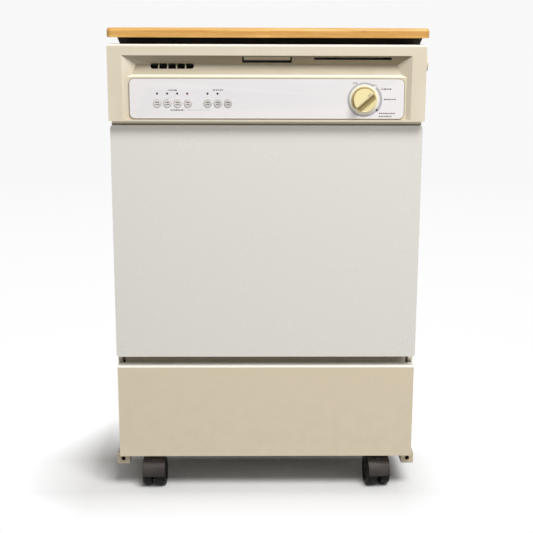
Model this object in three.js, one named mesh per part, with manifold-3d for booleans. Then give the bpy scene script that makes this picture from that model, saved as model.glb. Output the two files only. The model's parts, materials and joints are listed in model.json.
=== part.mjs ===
// A portable dishwasher on four castors, with a wooden top and a drop-down door.
// Millimetres, +Z up. The front faces -Y, and the origin is on the floor, under the middle of the machine.
import * as THREE from 'three';
import { mergeVertices } from 'three/addons/utils/BufferGeometryUtils.js';
import Module from 'manifold-3d';

const wasm = await Module();
wasm.setup();

// ---- Driving dimensions -------------------------------------------------------------------------

// Heights, stacked from the floor up
const floorClearance = 76; // floor to the bottom edge of the kick plate
const kickHeight = 193;
const doorGap = 21; // kick plate to door
const doorPanelHeight = 461;
const shadowJoint = 9; // door panel to console
const consoleHeight = 140;
const topGap = 14.5; // console to the wooden top
const woodThickness = 18;

// Widths
const cabinetWidth = 606;
const woodSideOverhang = 0;
const woodShift = 2.4; // the wooden top sits a little to the right
const doorSideStep = 4.5; // door's side inside the cabinet's side
const kickSideStep = 5;

// Depths, from the front back
const knobProud = 16; // knob in front of the console
const woodSetback = 16; // wooden top behind the console front
const woodDepth = 650;
const consoleProud = 20; // console in front of the door panel
const doorThickness = 56;
const gasketSpace = 4; // closed door to cabinet front
const woodRearOverhang = 12;
const kickSetback = 4; // kick plate behind the door panel
const kickEdgeRadius = 3; // top front edge of the kick plate
const consoleEdgeRadius = 4; // top front edge of the console

// Sheet, walls and clearances
const panelSheet = 1.5; // steel of the cabinet and door
const tubWall = 3;
const linerWall = 2.5;
const consoleWall = 3;
const seat = 0.3; // gap where one piece rests against another
const running = 0.4; // gap round a piece that slides or turns

// Cabinet
const sideFlange = 14; // returns on the front and rear edges of a side panel
const topFlange = 22;
const topFrameHeight = 16;
const topFrameLeftInset = 20;
const topFrameRightInset = 6;
const topFrameFlare = 7; // the frame's ends lean outwards towards the top
const topFrameWidth = 24;
const topFrameChamfer = 14;
const woodCornerRadius = 10;
const woodEdge = 5; // rounding of the wooden edge
const hoseBayWidth = 420;
const hoseBayHeight = 250;
const hoseBayDepth = 50;
const hoseBayDrop = 46; // below the top of the side panels
const louvreCount = 6;
const louvreLength = 150;
const louvreHeight = 5;
const louvrePitch = 14;
const louvreBase = 160; // lowest louvre above the bottom edge of the back panel

// Base frame
const channelWidth = 25;
const channelOverhang = 2.4; // side channels outside the cabinet
const channelHeight = 22;
const channelSetback = 16; // front end of the side channels behind the kick plate
const channelEndHole = 4.5; // radius of the hole in the channels' front ends
const legWidth = 7;
const railDepth = 16;
const railHeight = 22;
const railRise = 149; // cross rails above the side channels
const postWidth = 20;
const postInset = 103; // post inside the cabinet's side
const socketRailWidth = 34;
const socketRailHeight = 14;

// Castors
const castorInset = 73; // stem inside the cabinet's side
const frontStemReach = 6; // stem in front of the cabinet front
const rearStemDepth = 40; // stem before the cabinet back
const castorTrail = 13;
const castorWheelRadius = 30;
const castorWheelWidth = 49; // over both wheels of the pair
const castorWeb = 9; // hood's web between the wheels
const castorWebRadius = 19;
const castorSideGap = 0.8; // wheel to web
const castorFenderWidth = 44;
const castorHoodGap = 2.5; // hood to tread
const castorHoodSheet = 3;
const castorAxleRadius = 4;
const castorStemRadius = 5.5;
const castorTurns = [0, 7, 24, -9]; // front left, front right, rear left, rear right, in degrees

// Door and hinge
const pivotDepth = 36; // pivot behind the door face
const pivotRise = 23; // pivot above the door's bottom edge
const linerDrop = 6; // liner's bottom edge below the pivot
const linerDepth = 27;
const linerInset = 9.5; // liner's side inside the door's edge
const doorLip = 13.5;
const doorCornerRadius = 6;
const armThickness = 2.5;
const armWidth = 14;
const armLength = 150;
const tailReach = 50; // spring end of the arm, back and down from the pivot
const hingePinRadius = 3;
const earThickness = 2.5;
const springRadius = 5;

// Tub
const tubSideSpace = 18.5; // side panel to tub
const tubRearSpace = 59;
const tubFloorDrop = 17; // tub floor below the pivot
const tubCeilingDrop = 13; // tub ceiling below the side panel tops
const tubCornerRadius = 28;
const openingInset = 10; // door opening inside the tub walls
const openingTopDrop = 13;
const openingCornerRadius = 22;
const openingFootRadius = 4; // lower corners, beside the rack wheels
const trackWidth = 24;
const trackThickness = 8;
const gasketWidth = 12;
const gasketLap = 2; // gasket outside the opening
const sumpRadius = 76;
const sumpFlange = 12;
const sumpDepth = 46;
const sumpSetback = 10; // sump behind the middle of the machine
const sumpHubRadius = 11;
const sumpHubRise = 15;
const motorRadius = 52;
const motorHeight = 128;
const heaterInset = 5; // loop inside the reach of the lower spray arm
const heaterTubeRadius = 4;
const heaterRise = 10;
const heaterLegRadius = 6;
const heaterGapAngle = 14; // degrees left open at the back of the loop
const floatRadius = 21;
const floatHeight = 29;
const floatWall = 2;
const floatInset = 58; // from the tub's side wall
const floatSetback = 40; // behind the cabinet front
const floatPostRadius = 4;

// Racks
const rackWire = 4;
const rackSideGap = 18; // rack side inside the door opening
const rackFrontGap = 24; // rack behind the closed liner
const rackRearGap = 40.5; // rack to the tub's back wall
const rackCellsAcross = 8;
const rackCellsAlong = 7;
const lowerRackRise = 35; // rack floor above the tracks
const lowerRackHeight = 120;
const lowerTineHeight = 66;
const rackWheelRadius = 18;
const rackWheelWidth = 11;
const rackWheelPinRadius = 2.5;
const rackWheelLift = 0.95; // running gap between a wheel and its track
const frontWheelSetback = 130; // front wheels behind the rack's front, short of the sill at full travel
const rearWheelInset = 36;
const upperRackRise = 292; // upper rack floor above the lower rack floor
const upperRackHeight = 122;
const upperTineHeight = 48;
const railLipHeight = 27; // bottom of the slide rails above the upper rack floor
const railProfileHeight = 20;
const railProfileWidth = 13;
const railSheet = 3;
const railLip = 4;
const railEndInset = 3; // rail ends inside the rack's ends
const rollerRadius = 6.6;
const rollerInset = [34, 184]; // rollers behind the cabinet front
const basketWidth = 100;
const basketLength = 300;
const basketHeight = 104;
const basketWall = 2.5;
const basketCompartments = 3;
const basketHandleRise = 22;
const sprayArmThickness = 9;
const lowerArmLength = 420;
const lowerArmWidth = 52;
const upperArmLength = 380;
const upperArmWidth = 44;
const armHubRadius = 18;
const jetRadius = 2.5;
const jetCount = 5; // on each half of an arm
const feedTubeRadius = 7;

// Console, from the edges and from its top
const frameSide = 27; // flat border beside the recess
const frameTop = 18;
const frameBottom = 3;
const recessDepth = 20;
const recessFlare = 24.7; // how far the recess narrows towards its trough
const troughDrop = 35; // trough below the console's top
const ridgeDrop = 51;
const insertBedDrop = 58; // top of the flat bed
const insertBedDepth = 7;
const insertSideGap = 40; // console edge to insert
const insertHeight = 74;
const insertBottomGap = 5;
const insertThickness = 2.2;
const insertCornerRadius = 10;
const ventCount = 5;
const ventSlot = 14.6;
const ventRib = 2.2;
const ventHeight = 9.8;
const ventInset = 39.2; // from the insert's left end
const ventDrop = 38.2; // middle of the vent below the console's top
const latchWidth = 93;
const latchHeight = 11.5;
const latchDrop = 25.8; // middle of the opening below the console's top
const latchPocketRise = 7; // extra room for the paddle behind the lip
const latchSideGap = 1.9;
const latchPivotDepth = 35; // pivot behind the console front
const latchRodRadius = 2;
const cardSlotInset = 25.3; // slot's end from the insert's right end
const cardSlotLength = 145;
const cardSlotHeight = 3.4;
const cardSlotDrop = 23.3;

// Controls on the insert, measured from the insert's ends and bottom edge
const buttonRadius = 7.4;
const buttonStemRadius = 3;
const buttonProud = 1.5;
const buttonCapDepth = 6.5;
const buttonRow = 28; // above the insert's bottom edge
const cycleButtonInset = 51.9; // first button from the insert's left end
const optionButtonOffset = 94.8; // from the first cycle button
const buttonPitch = 19.2;
const cycleButtonCount = 4;
const optionButtonCount = 3;
const lampRadius = 1.8;
const lampRow = 46.5;
const lampPitch = 18.9;
const cycleLampCount = 4;
const optionLampCount = 2;
const knobInset = 75.5; // from the insert's right end
const knobRow = 36.3;
const knobSkirtRadius = 28;
const knobRadius = 24;
const knobSkirt = 2.5;
const knobRidgeHalf = 1.4; // half the width of the ridge across the knob's middle
const knobRidgeAngle = 37;
const knobFaceRadius = 21; // sloping face on one side of the ridge
const knobFaceDrop = 8.5; // how far that face falls from the ridge to its rim
const knobPlate = 4; // knob body left under the grip
const knobShaftRadius = 3;
const timerSize = 56;
const timerDepth = 30;
const boardThickness = 1.6;
const switchSize = 8;
const switchGap = 1.6; // button stem to switch, more than the button's travel

// Dispenser on the door liner
const dispenserWidth = 176;
const dispenserHeight = 116;
const dispenserRise = 187; // bottom edge above the pivot
const dispenserPlate = 2.7;
const dispenserBodyInset = 8;
const dispenserDepth = 24;
const cupWidth = 72;
const cupHeight = 60;
const cupLeft = -68;
const cupRise = 18;
const cupDepth = 20;
const coverLap = 4;
const coverThickness = 3;
const capRadius = 17;
const capAcross = 46;
const capRise = 54;
const capHeight = 7;
const capPlugRadius = 10;
const capPlugLength = 9;

// ---- Places worked out from them ----------------------------------------------------------------

const kickTop = floorClearance + kickHeight;
const doorBottom = kickTop + doorGap;
const doorPanelTop = doorBottom + doorPanelHeight;
const consoleBottom = doorPanelTop + shadowJoint;
const consoleTop = consoleBottom + consoleHeight;
const woodBottom = consoleTop + topGap;
const topFrameBottom = woodBottom - seat - topFrameHeight;
const sideTop = topFrameBottom - seat;
const sideBottom = floorClearance + seat;

const cabinetHalf = cabinetWidth / 2;
const doorHalf = cabinetHalf - doorSideStep;
const kickHalf = cabinetHalf - kickSideStep;
const sideInner = cabinetHalf - panelSheet;
const flangeInner = cabinetHalf - sideFlange;

const overallDepth = knobProud + woodSetback + woodDepth;
const knobFront = -overallDepth / 2;
const consoleFront = knobFront + knobProud;
const doorFace = consoleFront + consoleProud;
const doorBack = doorFace + doorThickness;
const cabinetFront = doorBack + gasketSpace;
const woodFront = consoleFront + woodSetback;
const woodBack = woodFront + woodDepth;
const cabinetBack = woodBack - woodRearOverhang;
const kickFace = doorFace + kickSetback;
const backPanelOuter = cabinetBack - panelSheet - seat;
const backPanelInner = backPanelOuter - panelSheet;

const pivotY = doorFace + pivotDepth;
const pivotZ = doorBottom + pivotRise;
const linerHalf = doorHalf - linerInset;
const linerBottom = pivotZ - linerDrop;
const linerTop = consoleTop - consoleWall - seat;
const linerFront = doorBack - linerDepth;
const doorPanelBack = linerFront - seat;
const armInner = linerHalf + 2 * seat; // hinge arm beside the liner
const armOuter = armInner + armThickness;
const earInner = armOuter + running;
const earOuter = earInner + earThickness;
const legOuter = sideInner - seat;
const legInner = legOuter - legWidth;
const legFront = cabinetFront + panelSheet + seat;
const springX = armInner + armThickness / 2;
const tailY = pivotY + tailReach;
const tailZ = pivotZ - tailReach;

const tubHalf = sideInner - tubSideSpace - tubWall;
const tubFloor = pivotZ - tubFloorDrop;
const tubCeiling = sideTop - tubCeilingDrop;
const tubBack = cabinetBack - tubRearSpace - tubWall - panelSheet;
const trackTop = pivotZ + doorThickness - pivotDepth; // level with the open door
const openingHalf = tubHalf - openingInset;
const openingTop = tubCeiling - openingTopDrop;
const tubFlangeHalf = flangeInner - running;
const tubFlangeTop = sideTop - panelSheet - seat;
const tubFlangeBottom = tubFloor - tubWall - 1;

const floatX = tubHalf - floatInset;
const floatY = cabinetFront + floatSetback;
const heaterRadius = lowerArmLength / 2 - heaterInset;
const rackHalf = openingHalf - rackSideGap;
const rackFront = doorBack + rackFrontGap;
const rackBack = tubBack - rackRearGap;
const rackLength = rackBack - rackFront;
const lowerFloor = trackTop + lowerRackRise;
const upperFloor = lowerFloor + upperRackRise;
const railInner = rackHalf + railLip + running;
const railBottom = upperFloor + railLipHeight;
const rollerZ = railBottom + railProfileHeight / 2;
const cavityFront = consoleFront + recessDepth + consoleWall + 1;
const insertHalf = doorHalf - insertSideGap;
const cycleButtonStart = -insertHalf + cycleButtonInset;
const optionButtonStart = cycleButtonStart + optionButtonOffset;
const ventLeft = -insertHalf + ventInset;
const cardSlotLeft = insertHalf - cardSlotInset - cardSlotLength;
const knobAcross = insertHalf - knobInset;
const insertBottom = consoleBottom + insertBottomGap;
const insertBack = consoleFront + insertBedDepth - seat;
const insertFront = insertBack - insertThickness;
const timerFront = cavityFront + seat;
const boardFront = cavityFront + 9;
const ventMiddle = consoleTop - ventDrop;
const latchMiddle = consoleTop - latchDrop;
const dispenserBottom = pivotZ + dispenserRise;

// ---- Finishes -----------------------------------------------------------------------------------

const finish = (color, roughness, metalness = 0) =>
  new THREE.MeshStandardMaterial({ color, roughness, metalness });
const wood = finish(0xd8a865, 0.5);
const almondPlastic = finish(0xddd2bb, 0.45);
const almondSteel = finish(0xcbbfa6, 0.4, 0.1);
const whiteSteel = finish(0xd6ccc2, 0.35, 0.1);
const whitePlastic = finish(0xe5e1e2, 0.45);
const blackPlastic = finish(0x1c1a16, 0.6);
const castorPlastic = finish(0x35312f, 0.65);
const knobPlastic = finish(0xf3e6bd, 0.35);
const frameSteel = finish(0x5d594f, 0.55, 0.5);
const tubPlastic = finish(0xdedcd6, 0.5);
const rackCoating = finish(0xd9dde0, 0.45);
const greyPlastic = finish(0x8f9496, 0.55);
const gasketRubber = finish(0x34332f, 0.85);
const brightSteel = finish(0xb8babc, 0.3, 0.9);

// ---- Shape helpers ------------------------------------------------------------------------------

// A closed three.js geometry as a solid that can be joined and cut
function solidOf(geometry) {
  geometry.deleteAttribute('normal');
  geometry.deleteAttribute('uv');
  const merged = mergeVertices(geometry, 1e-4);
  const vertProperties = new Float32Array(merged.attributes.position.array);
  const triVerts = new Uint32Array(merged.index.array);
  return new wasm.Manifold(new wasm.Mesh({ numProp: 3, vertProperties, triVerts }));
}

const joined = (...solids) => solids.reduce((sum, next) => sum.add(next));
const cut = (solid, ...tools) => tools.reduce((rest, tool) => rest.subtract(tool), solid);

function block(x0, x1, y0, y1, z0, z1) {
  const geometry = new THREE.BoxGeometry(x1 - x0, y1 - y0, z1 - z0);
  geometry.translate((x0 + x1) / 2, (y0 + y1) / 2, (z0 + z1) / 2);
  return solidOf(geometry);
}

// The same block on the left (side -1) or the right (side 1), given from the middle outwards
function sideBlock(side, inner, outer, y0, y1, z0, z1) {
  return side > 0 ? block(inner, outer, y0, y1, z0, z1) : block(-outer, -inner, y0, y1, z0, z1);
}

// Points of a rounded corner at the top front, where a front face meets a top face
function easedCorner(y, z, radius, steps = 3) {
  return Array.from({ length: steps + 1 }, (_, i) => {
    const angle = (Math.PI / 2) * (i / steps);
    return [y + radius - radius * Math.sin(angle), z - radius + radius * Math.cos(angle)];
  });
}

const polygon = (points) => new THREE.Shape(points.map(([a, b]) => new THREE.Vector2(a, b)));

function roundedRect(a0, a1, b0, b1, radius, lowRadius = radius) {
  const shape = new THREE.Shape();
  shape.moveTo(a0 + lowRadius, b0);
  shape.lineTo(a1 - lowRadius, b0);
  shape.absarc(a1 - lowRadius, b0 + lowRadius, lowRadius, -Math.PI / 2, 0, false);
  shape.lineTo(a1, b1 - radius);
  shape.absarc(a1 - radius, b1 - radius, radius, 0, Math.PI / 2, false);
  shape.lineTo(a0 + radius, b1);
  shape.absarc(a0 + radius, b1 - radius, radius, Math.PI / 2, Math.PI, false);
  shape.lineTo(a0, b0 + lowRadius);
  shape.absarc(a0 + lowRadius, b0 + lowRadius, lowRadius, Math.PI, 1.5 * Math.PI, false);
  return shape;
}

function extruded(shape, depth, curveSegments = 3) {
  return new THREE.ExtrudeGeometry(shape, { depth, bevelEnabled: false, curveSegments });
}

// A plan outline (x, y) between two heights
function alongZ(shape, z0, z1, curveSegments) {
  return solidOf(extruded(shape, z1 - z0, curveSegments).translate(0, 0, z0));
}

// A front outline (x, z) between two depths
function alongY(shape, y0, y1, curveSegments) {
  return solidOf(extruded(shape, y1 - y0, curveSegments).rotateX(Math.PI / 2).translate(0, y1, 0));
}

// A side outline (y, z) between two sideways places
function alongX(shape, x0, x1, curveSegments) {
  const turn = new THREE.Matrix4().set(0, 0, 1, x0, 1, 0, 0, 0, 0, 1, 0, 0, 0, 0, 0, 1);
  return solidOf(extruded(shape, x1 - x0, curveSegments).applyMatrix4(turn));
}

// A round bar from one point to another
function roundBar(from, to, radius, sides = 12) {
  const start = new THREE.Vector3(...from);
  const run = new THREE.Vector3(...to).sub(start);
  const geometry = new THREE.CylinderGeometry(radius, radius, run.length(), sides);
  const turn = new THREE.Quaternion().setFromUnitVectors(
    new THREE.Vector3(0, 1, 0), run.clone().normalize());
  geometry.applyQuaternion(turn);
  geometry.translate(start.x + run.x / 2, start.y + run.y / 2, start.z + run.z / 2);
  return solidOf(geometry);
}

// A turned piece: (radius, height) points about the vertical axis
function turned(profile, sides) {
  const points = profile.map(([r, z]) => new THREE.Vector2(r, z));
  return solidOf(new THREE.LatheGeometry(points, sides).rotateX(Math.PI / 2));
}

const moved = (solid, x, y, z) => solid.translate([x, y, z]);

// A wire mat: a slab with a grid of openings left between its wires; each span is [low, high]
function wireMat(spanX, spanY, spanZ, cellsX, cellsY, cellsZ) {
  const spans = [spanX, spanY, spanZ];
  const cells = [cellsX, cellsY, cellsZ];
  // the openings along one axis; an axis without cells is the thickness, which they pass through
  const openings = (axis) => {
    const [low, high] = spans[axis];
    if (!cells[axis]) return [[low - 1, high + 1]];
    const pitch = (high - low - rackWire) / cells[axis];
    return Array.from({ length: cells[axis] },
      (_, i) => [low + rackWire + i * pitch, low + (i + 1) * pitch]);
  };
  let mat = block(...spanX, ...spanY, ...spanZ);
  for (const x of openings(0)) {
    for (const y of openings(1)) {
      for (const z of openings(2)) mat = cut(mat, block(...x, ...y, ...z));
    }
  }
  return mat;
}

function piece(name, solid, material) {
  const mesh = solid.getMesh();
  const geometry = new THREE.BufferGeometry();
  geometry.setAttribute('position', new THREE.BufferAttribute(mesh.vertProperties, 3));
  geometry.setIndex(new THREE.BufferAttribute(mesh.triVerts, 1));
  geometry.computeVertexNormals();
  const part = new THREE.Mesh(geometry, material);
  part.name = name;
  return part;
}

const sides = [[-1, 'left'], [1, 'right']];
const machine = new THREE.Group();
const cabinet = new THREE.Group();
const door = new THREE.Group();
const interior = new THREE.Group();
machine.add(cabinet, door, interior);

// ---- Cabinet ------------------------------------------------------------------------------------

function woodTop() {
  const half = cabinetHalf + woodSideOverhang;
  const shape = roundedRect(-half + woodEdge, half - woodEdge, woodFront + woodEdge,
    woodBack - woodEdge, woodCornerRadius - woodEdge);
  const geometry = new THREE.ExtrudeGeometry(shape, {
    depth: woodThickness - 2 * woodEdge, curveSegments: 2,
    bevelThickness: woodEdge, bevelSize: woodEdge, bevelSegments: 2,
  });
  geometry.translate(woodShift, 0, woodBottom + woodEdge);
  return piece('wood_top', solidOf(geometry), wood);
}

// A ring under the wooden top, with its front corners cut off and its ends leaning outwards
function topFrame() {
  const left = -cabinetHalf + topFrameLeftInset;
  const right = cabinetHalf - topFrameRightInset;
  const front = cabinetFront + panelSheet;
  const back = backPanelOuter;
  const top = woodBottom - seat;
  const outer = polygon([
    [left - topFrameFlare, front + topFrameChamfer], [left + topFrameChamfer, front],
    [right - topFrameChamfer, front], [right + topFrameFlare, front + topFrameChamfer],
    [right + topFrameFlare, back], [left - topFrameFlare, back],
  ]);
  const hole = block(left + topFrameWidth, right - topFrameWidth, front + topFrameWidth,
    back - topFrameWidth, topFrameBottom - 1, top + 1);
  const lean = (end, out) => alongY(polygon([
    [end, topFrameBottom - 1], [end, topFrameBottom], [end + out * topFrameFlare, top],
    [end + out * topFrameFlare, top + 1], [end + out * 40, top + 1], [end + out * 40, topFrameBottom - 1],
  ]), front - 1, back + 1);
  const ring = cut(alongZ(outer, topFrameBottom, top), hole, lean(left, -1), lean(right, 1));
  return piece('top_frame', ring, blackPlastic);
}

// A sheet folded inwards at its front, rear and top edges, notched where the hinge arm passes
function sidePanel(side, word) {
  const plan = polygon([
    [cabinetHalf, cabinetFront], [cabinetHalf, cabinetBack], [flangeInner, cabinetBack],
    [flangeInner, cabinetBack - panelSheet], [sideInner, cabinetBack - panelSheet],
    [sideInner, cabinetFront + panelSheet], [flangeInner, cabinetFront + panelSheet],
    [flangeInner, cabinetFront],
  ].map(([x, y]) => [side * x, y]));
  const flange = sideBlock(side, cabinetHalf - topFlange, cabinetHalf, cabinetFront,
    cabinetBack, sideTop - panelSheet, sideTop);
  const notchReach = tailReach + armWidth;
  const notch = sideBlock(side, flangeInner - 1, sideInner - panelSheet, cabinetFront - 1,
    cabinetFront + panelSheet + 1, pivotZ - notchReach, pivotZ + notchReach);
  const sheet = alongZ(plan, sideBottom, sideTop);
  return piece(`side_panel_${word}`, cut(joined(sheet, flange), notch), almondSteel);
}

function hoseBayTop() {
  return sideTop - hoseBayDrop;
}

function backPanel() {
  const half = sideInner - seat;
  const top = sideTop - panelSheet - seat;
  const bayHalf = hoseBayWidth / 2;
  const bayTop = hoseBayTop();
  const bayBottom = bayTop - hoseBayHeight;
  const bayFront = backPanelOuter - hoseBayDepth;
  const sheet = block(-half, half, backPanelInner, backPanelOuter, sideBottom, top);
  const box = block(-bayHalf - panelSheet, bayHalf + panelSheet, bayFront - panelSheet,
    backPanelOuter, bayBottom - panelSheet, bayTop + panelSheet);
  const room = block(-bayHalf, bayHalf, bayFront, backPanelOuter + 1, bayBottom, bayTop);
  let panel = cut(joined(sheet, box), room);
  for (let i = 0; i < louvreCount; i++) {
    const low = sideBottom + louvreBase + i * louvrePitch;
    panel = cut(panel, block(-louvreLength / 2, louvreLength / 2, backPanelInner - 1,
      backPanelOuter + 1, low, low + louvreHeight));
  }
  const gland = roundBar([glandX, backPanelInner - 1, glandZ], [glandX, backPanelOuter + 1, glandZ],
    glandNeck + running, 16);
  return piece('back_panel', cut(panel, gland), almondSteel);
}

// Bush in the back panel where the mains lead would enter
const glandX = -cabinetHalf + 90;
const glandZ = sideBottom + 110;
const glandNeck = 9;
const glandBore = 4;

function cordGland() {
  const rim = roundBar([glandX, backPanelOuter + seat, glandZ],
    [glandX, backPanelOuter + 5, glandZ], glandNeck + 5, 16);
  const neck = roundBar([glandX, backPanelInner - 6, glandZ],
    [glandX, backPanelOuter + 1, glandZ], glandNeck, 16);
  const bore = roundBar([glandX, backPanelInner - 7, glandZ],
    [glandX, backPanelOuter + 6, glandZ], glandBore, 12);
  return piece('cord_gland', cut(joined(rim, neck), bore), blackPlastic);
}

// Plate with the inlet and drain nozzles, on the floor of the hose bay
const portPlateHalf = 70;
const portPlateDepth = 32;
const portPlateThickness = 6;
const portSpacing = 70;
const portRise = 34;
const portRadius = 10;
const portWall = 4;

function hosePorts() {
  const floor = hoseBayTop() - hoseBayHeight + seat;
  const middle = backPanelOuter - hoseBayDepth / 2;
  let ports = block(-portPlateHalf, portPlateHalf, middle - portPlateDepth / 2,
    middle + portPlateDepth / 2, floor, floor + portPlateThickness);
  for (const x of [-portSpacing / 2, portSpacing / 2]) {
    ports = joined(ports, roundBar([x, middle, floor + portPlateThickness / 2],
      [x, middle, floor + portRise], portRadius, 14));
    ports = cut(ports, roundBar([x, middle, floor + portPlateThickness],
      [x, middle, floor + portRise + 1], portRadius - portWall, 12));
  }
  return piece('hose_ports', ports, greyPlastic);
}

function kickPlate() {
  const back = cabinetFront - seat;
  const outline = polygon([
    [kickFace, floorClearance], [back, floorClearance], [back, kickTop],
    ...easedCorner(kickFace, kickTop, kickEdgeRadius),
  ]);
  const shell = alongX(outline, -kickHalf, kickHalf);
  const room = block(-kickHalf + panelSheet, kickHalf - panelSheet, kickFace + panelSheet,
    back + 1, floorClearance + panelSheet, kickTop - panelSheet);
  const flangeEnd = kickFace + kickFlange;
  const behindTop = block(-kickHalf + panelSheet, kickHalf - panelSheet, flangeEnd, back + 1,
    kickTop - panelSheet - 1, kickTop + 1);
  const behindBottom = block(-kickHalf + panelSheet, kickHalf - panelSheet, flangeEnd, back + 1,
    floorClearance - 1, floorClearance + panelSheet + 1);
  return piece('kick_plate', cut(shell, room, behindTop, behindBottom), almondSteel);
}
const kickFlange = 24; // folds along the top and bottom edges of the kick plate

const stemAcross = cabinetHalf - castorInset;
const stemPlaces = [
  ['front_left', -1, cabinetFront - frontStemReach],
  ['front_right', 1, cabinetFront - frontStemReach],
  ['rear_left', -1, cabinetBack - rearStemDepth],
  ['rear_right', 1, cabinetBack - rearStemDepth],
];

// Side channels, legs, cross rails, castor sockets, a front skirt and the ears of the door hinge
function baseFrame() {
  const channelOuter = cabinetHalf + channelOverhang;
  const channelInner = channelOuter - channelWidth;
  const channelTop = floorClearance - seat;
  const channelBottom = channelTop - channelHeight;
  const channelFront = kickFace + channelSetback;
  const railBottom = floorClearance + railRise;
  const railTop = railBottom + railHeight;
  const postTop = tubFlangeBottom - seat;
  const rearRail = tubBack - railDepth - 20;
  const solids = [];
  for (const [side] of sides) {
    const outer = sideBlock(side, channelInner, channelOuter, channelFront, cabinetBack,
      channelBottom, channelTop);
    const bore = sideBlock(side, channelInner + panelSheet, channelOuter - panelSheet,
      channelFront + panelSheet, cabinetBack + 1, channelBottom + panelSheet, channelTop - panelSheet);
    const endHole = roundBar([side * (channelInner + channelOuter) / 2, channelFront - 1,
      (channelTop + channelBottom) / 2], [side * (channelInner + channelOuter) / 2,
      channelFront + panelSheet + 1, (channelTop + channelBottom) / 2], channelEndHole, 12);
    solids.push(cut(outer, bore, endHole));
    const legTop = pivotZ + armWidth;
    solids.push(sideBlock(side, legInner, legOuter, legFront, legFront + railDepth,
      channelTop - panelSheet / 2, legTop));
    solids.push(sideBlock(side, legInner, legOuter, rearRail, rearRail + railDepth,
      channelTop - panelSheet / 2, railTop));
    const ear = alongX(polygon([
      [pivotY, pivotZ - armWidth / 2], [legFront + railDepth, pivotZ - armWidth / 2],
      [legFront + railDepth, pivotZ + armWidth / 2], [pivotY, pivotZ + armWidth / 2],
    ]), side > 0 ? earInner : -earOuter, side > 0 ? earOuter : -earInner);
    const knuckle = roundBar([side * earInner, pivotY, pivotZ], [side * earOuter, pivotY, pivotZ],
      armWidth / 2, 16);
    const pin = roundBar([side * (armInner - seat / 2), pivotY, pivotZ],
      [side * (earInner + 1), pivotY, pivotZ], hingePinRadius, 12);
    const bridge = sideBlock(side, earInner, legOuter, legFront, legFront + railDepth,
      pivotZ - armWidth / 2, pivotZ + armWidth / 2);
    solids.push(ear, knuckle, pin, bridge);
    for (const postY of [legFront, rearRail]) {
      solids.push(sideBlock(side, cabinetHalf - postInset - postWidth, cabinetHalf - postInset,
        postY, postY + railDepth, railTop - 1, postTop));
    }
  }
  for (const railY of [legFront, rearRail]) {
    solids.push(block(-legOuter, legOuter, railY, railY + railDepth, railBottom, railTop));
  }
  solids.push(block(-tubFlangeHalf, tubFlangeHalf, legFront, legFront + panelSheet,
    railTop - 1, tubFlangeBottom - seat));
  for (const stemY of [stemPlaces[0][2], stemPlaces[2][2]]) {
    const railHalf = springX - springRadius - seat;
    let rail = block(-railHalf, railHalf, stemY - socketRailWidth / 2,
      stemY + socketRailWidth / 2, channelTop - panelSheet / 2, floorClearance + socketRailHeight);
    for (const [side] of sides) {
      const x = side * stemAcross;
      rail = cut(rail, roundBar([x, stemY, floorClearance - 2],
        [x, stemY, floorClearance + socketRailHeight + 1], castorStemRadius + running, 16));
    }
    solids.push(rail);
  }
  return piece('base_frame', joined(...solids), frameSteel);
}

// ---- Castors ------------------------------------------------------------------------------------

// Fender, web and stem as one piece, with the axle at (0, -trail) and the stem at the origin
function castorHood() {
  const slotRadius = castorWheelRadius + castorHoodGap;
  const hoodRadius = slotRadius + castorHoodSheet;
  const fenderHalf = castorFenderWidth / 2;
  const axleZ = castorWheelRadius;
  const crown = new THREE.Shape();
  crown.absarc(-castorTrail, axleZ, hoodRadius, 0, Math.PI, false);
  const room = roundBar([-fenderHalf - 1, -castorTrail, axleZ], [fenderHalf + 1, -castorTrail, axleZ],
    slotRadius, 24);
  const web = roundBar([-castorWeb / 2, -castorTrail, axleZ], [castorWeb / 2, -castorTrail, axleZ],
    castorWebRadius, 20);
  const webNeck = block(-castorWeb / 2, castorWeb / 2, -castorTrail - castorWebRadius,
    -castorTrail + castorWebRadius, axleZ, axleZ + slotRadius);
  const bore = roundBar([-castorWeb, -castorTrail, axleZ], [castorWeb, -castorTrail, axleZ],
    castorAxleRadius + 2 * running, 14);
  const neck = cut(roundBar([0, 0, axleZ + slotRadius / 2], [0, 0, floorClearance - 3.5],
    castorStemRadius * 2.4, 14), room);
  const stem = roundBar([0, 0, axleZ + slotRadius - 2], [0, 0, floorClearance + socketRailHeight],
    castorStemRadius, 14);
  const fender = cut(alongX(crown, -fenderHalf, fenderHalf, 9), room);
  return joined(fender, cut(joined(web, webNeck), bore), neck, stem);
}

// A pair of wheels on one axle, each with eased edges and flat facets that touch the floor
function castorWheel() {
  const facets = 24;
  const rim = castorWheelRadius / Math.cos(Math.PI / facets);
  const half = castorWheelWidth / 2;
  const inner = castorWeb / 2 + castorSideGap;
  const ease = 5;
  const side = [[rim - ease, half], [rim, half - ease], [rim, inner + 2], [rim - 2, inner],
    [castorAxleRadius, inner]];
  const mirrored = side.map(([r, a]) => [r, -a]).reverse();
  const points = [[0, half], ...side, ...mirrored, [0, -half]].reverse()
    .map(([r, a]) => new THREE.Vector2(r, a));
  const geometry = new THREE.LatheGeometry(points, facets, Math.PI / facets);
  return solidOf(geometry.rotateZ(-Math.PI / 2));
}

function castors() {
  const hood = castorHood();
  const wheel = castorWheel();
  const group = new THREE.Group();
  stemPlaces.forEach(([word, side, stemY], i) => {
    const castor = new THREE.Group();
    castor.position.set(side * stemAcross, stemY, 0);
    castor.rotation.z = THREE.MathUtils.degToRad(castorTurns[i]);
    const tyre = piece(`castor_wheel_${word}`, wheel, castorPlastic);
    tyre.position.set(0, -castorTrail, castorWheelRadius);
    castor.add(piece(`castor_hood_${word}`, hood, castorPlastic), tyre);
    group.add(castor);
  });
  return group;
}

// ---- Tub and what is fixed in it ----------------------------------------------------------------

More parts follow.
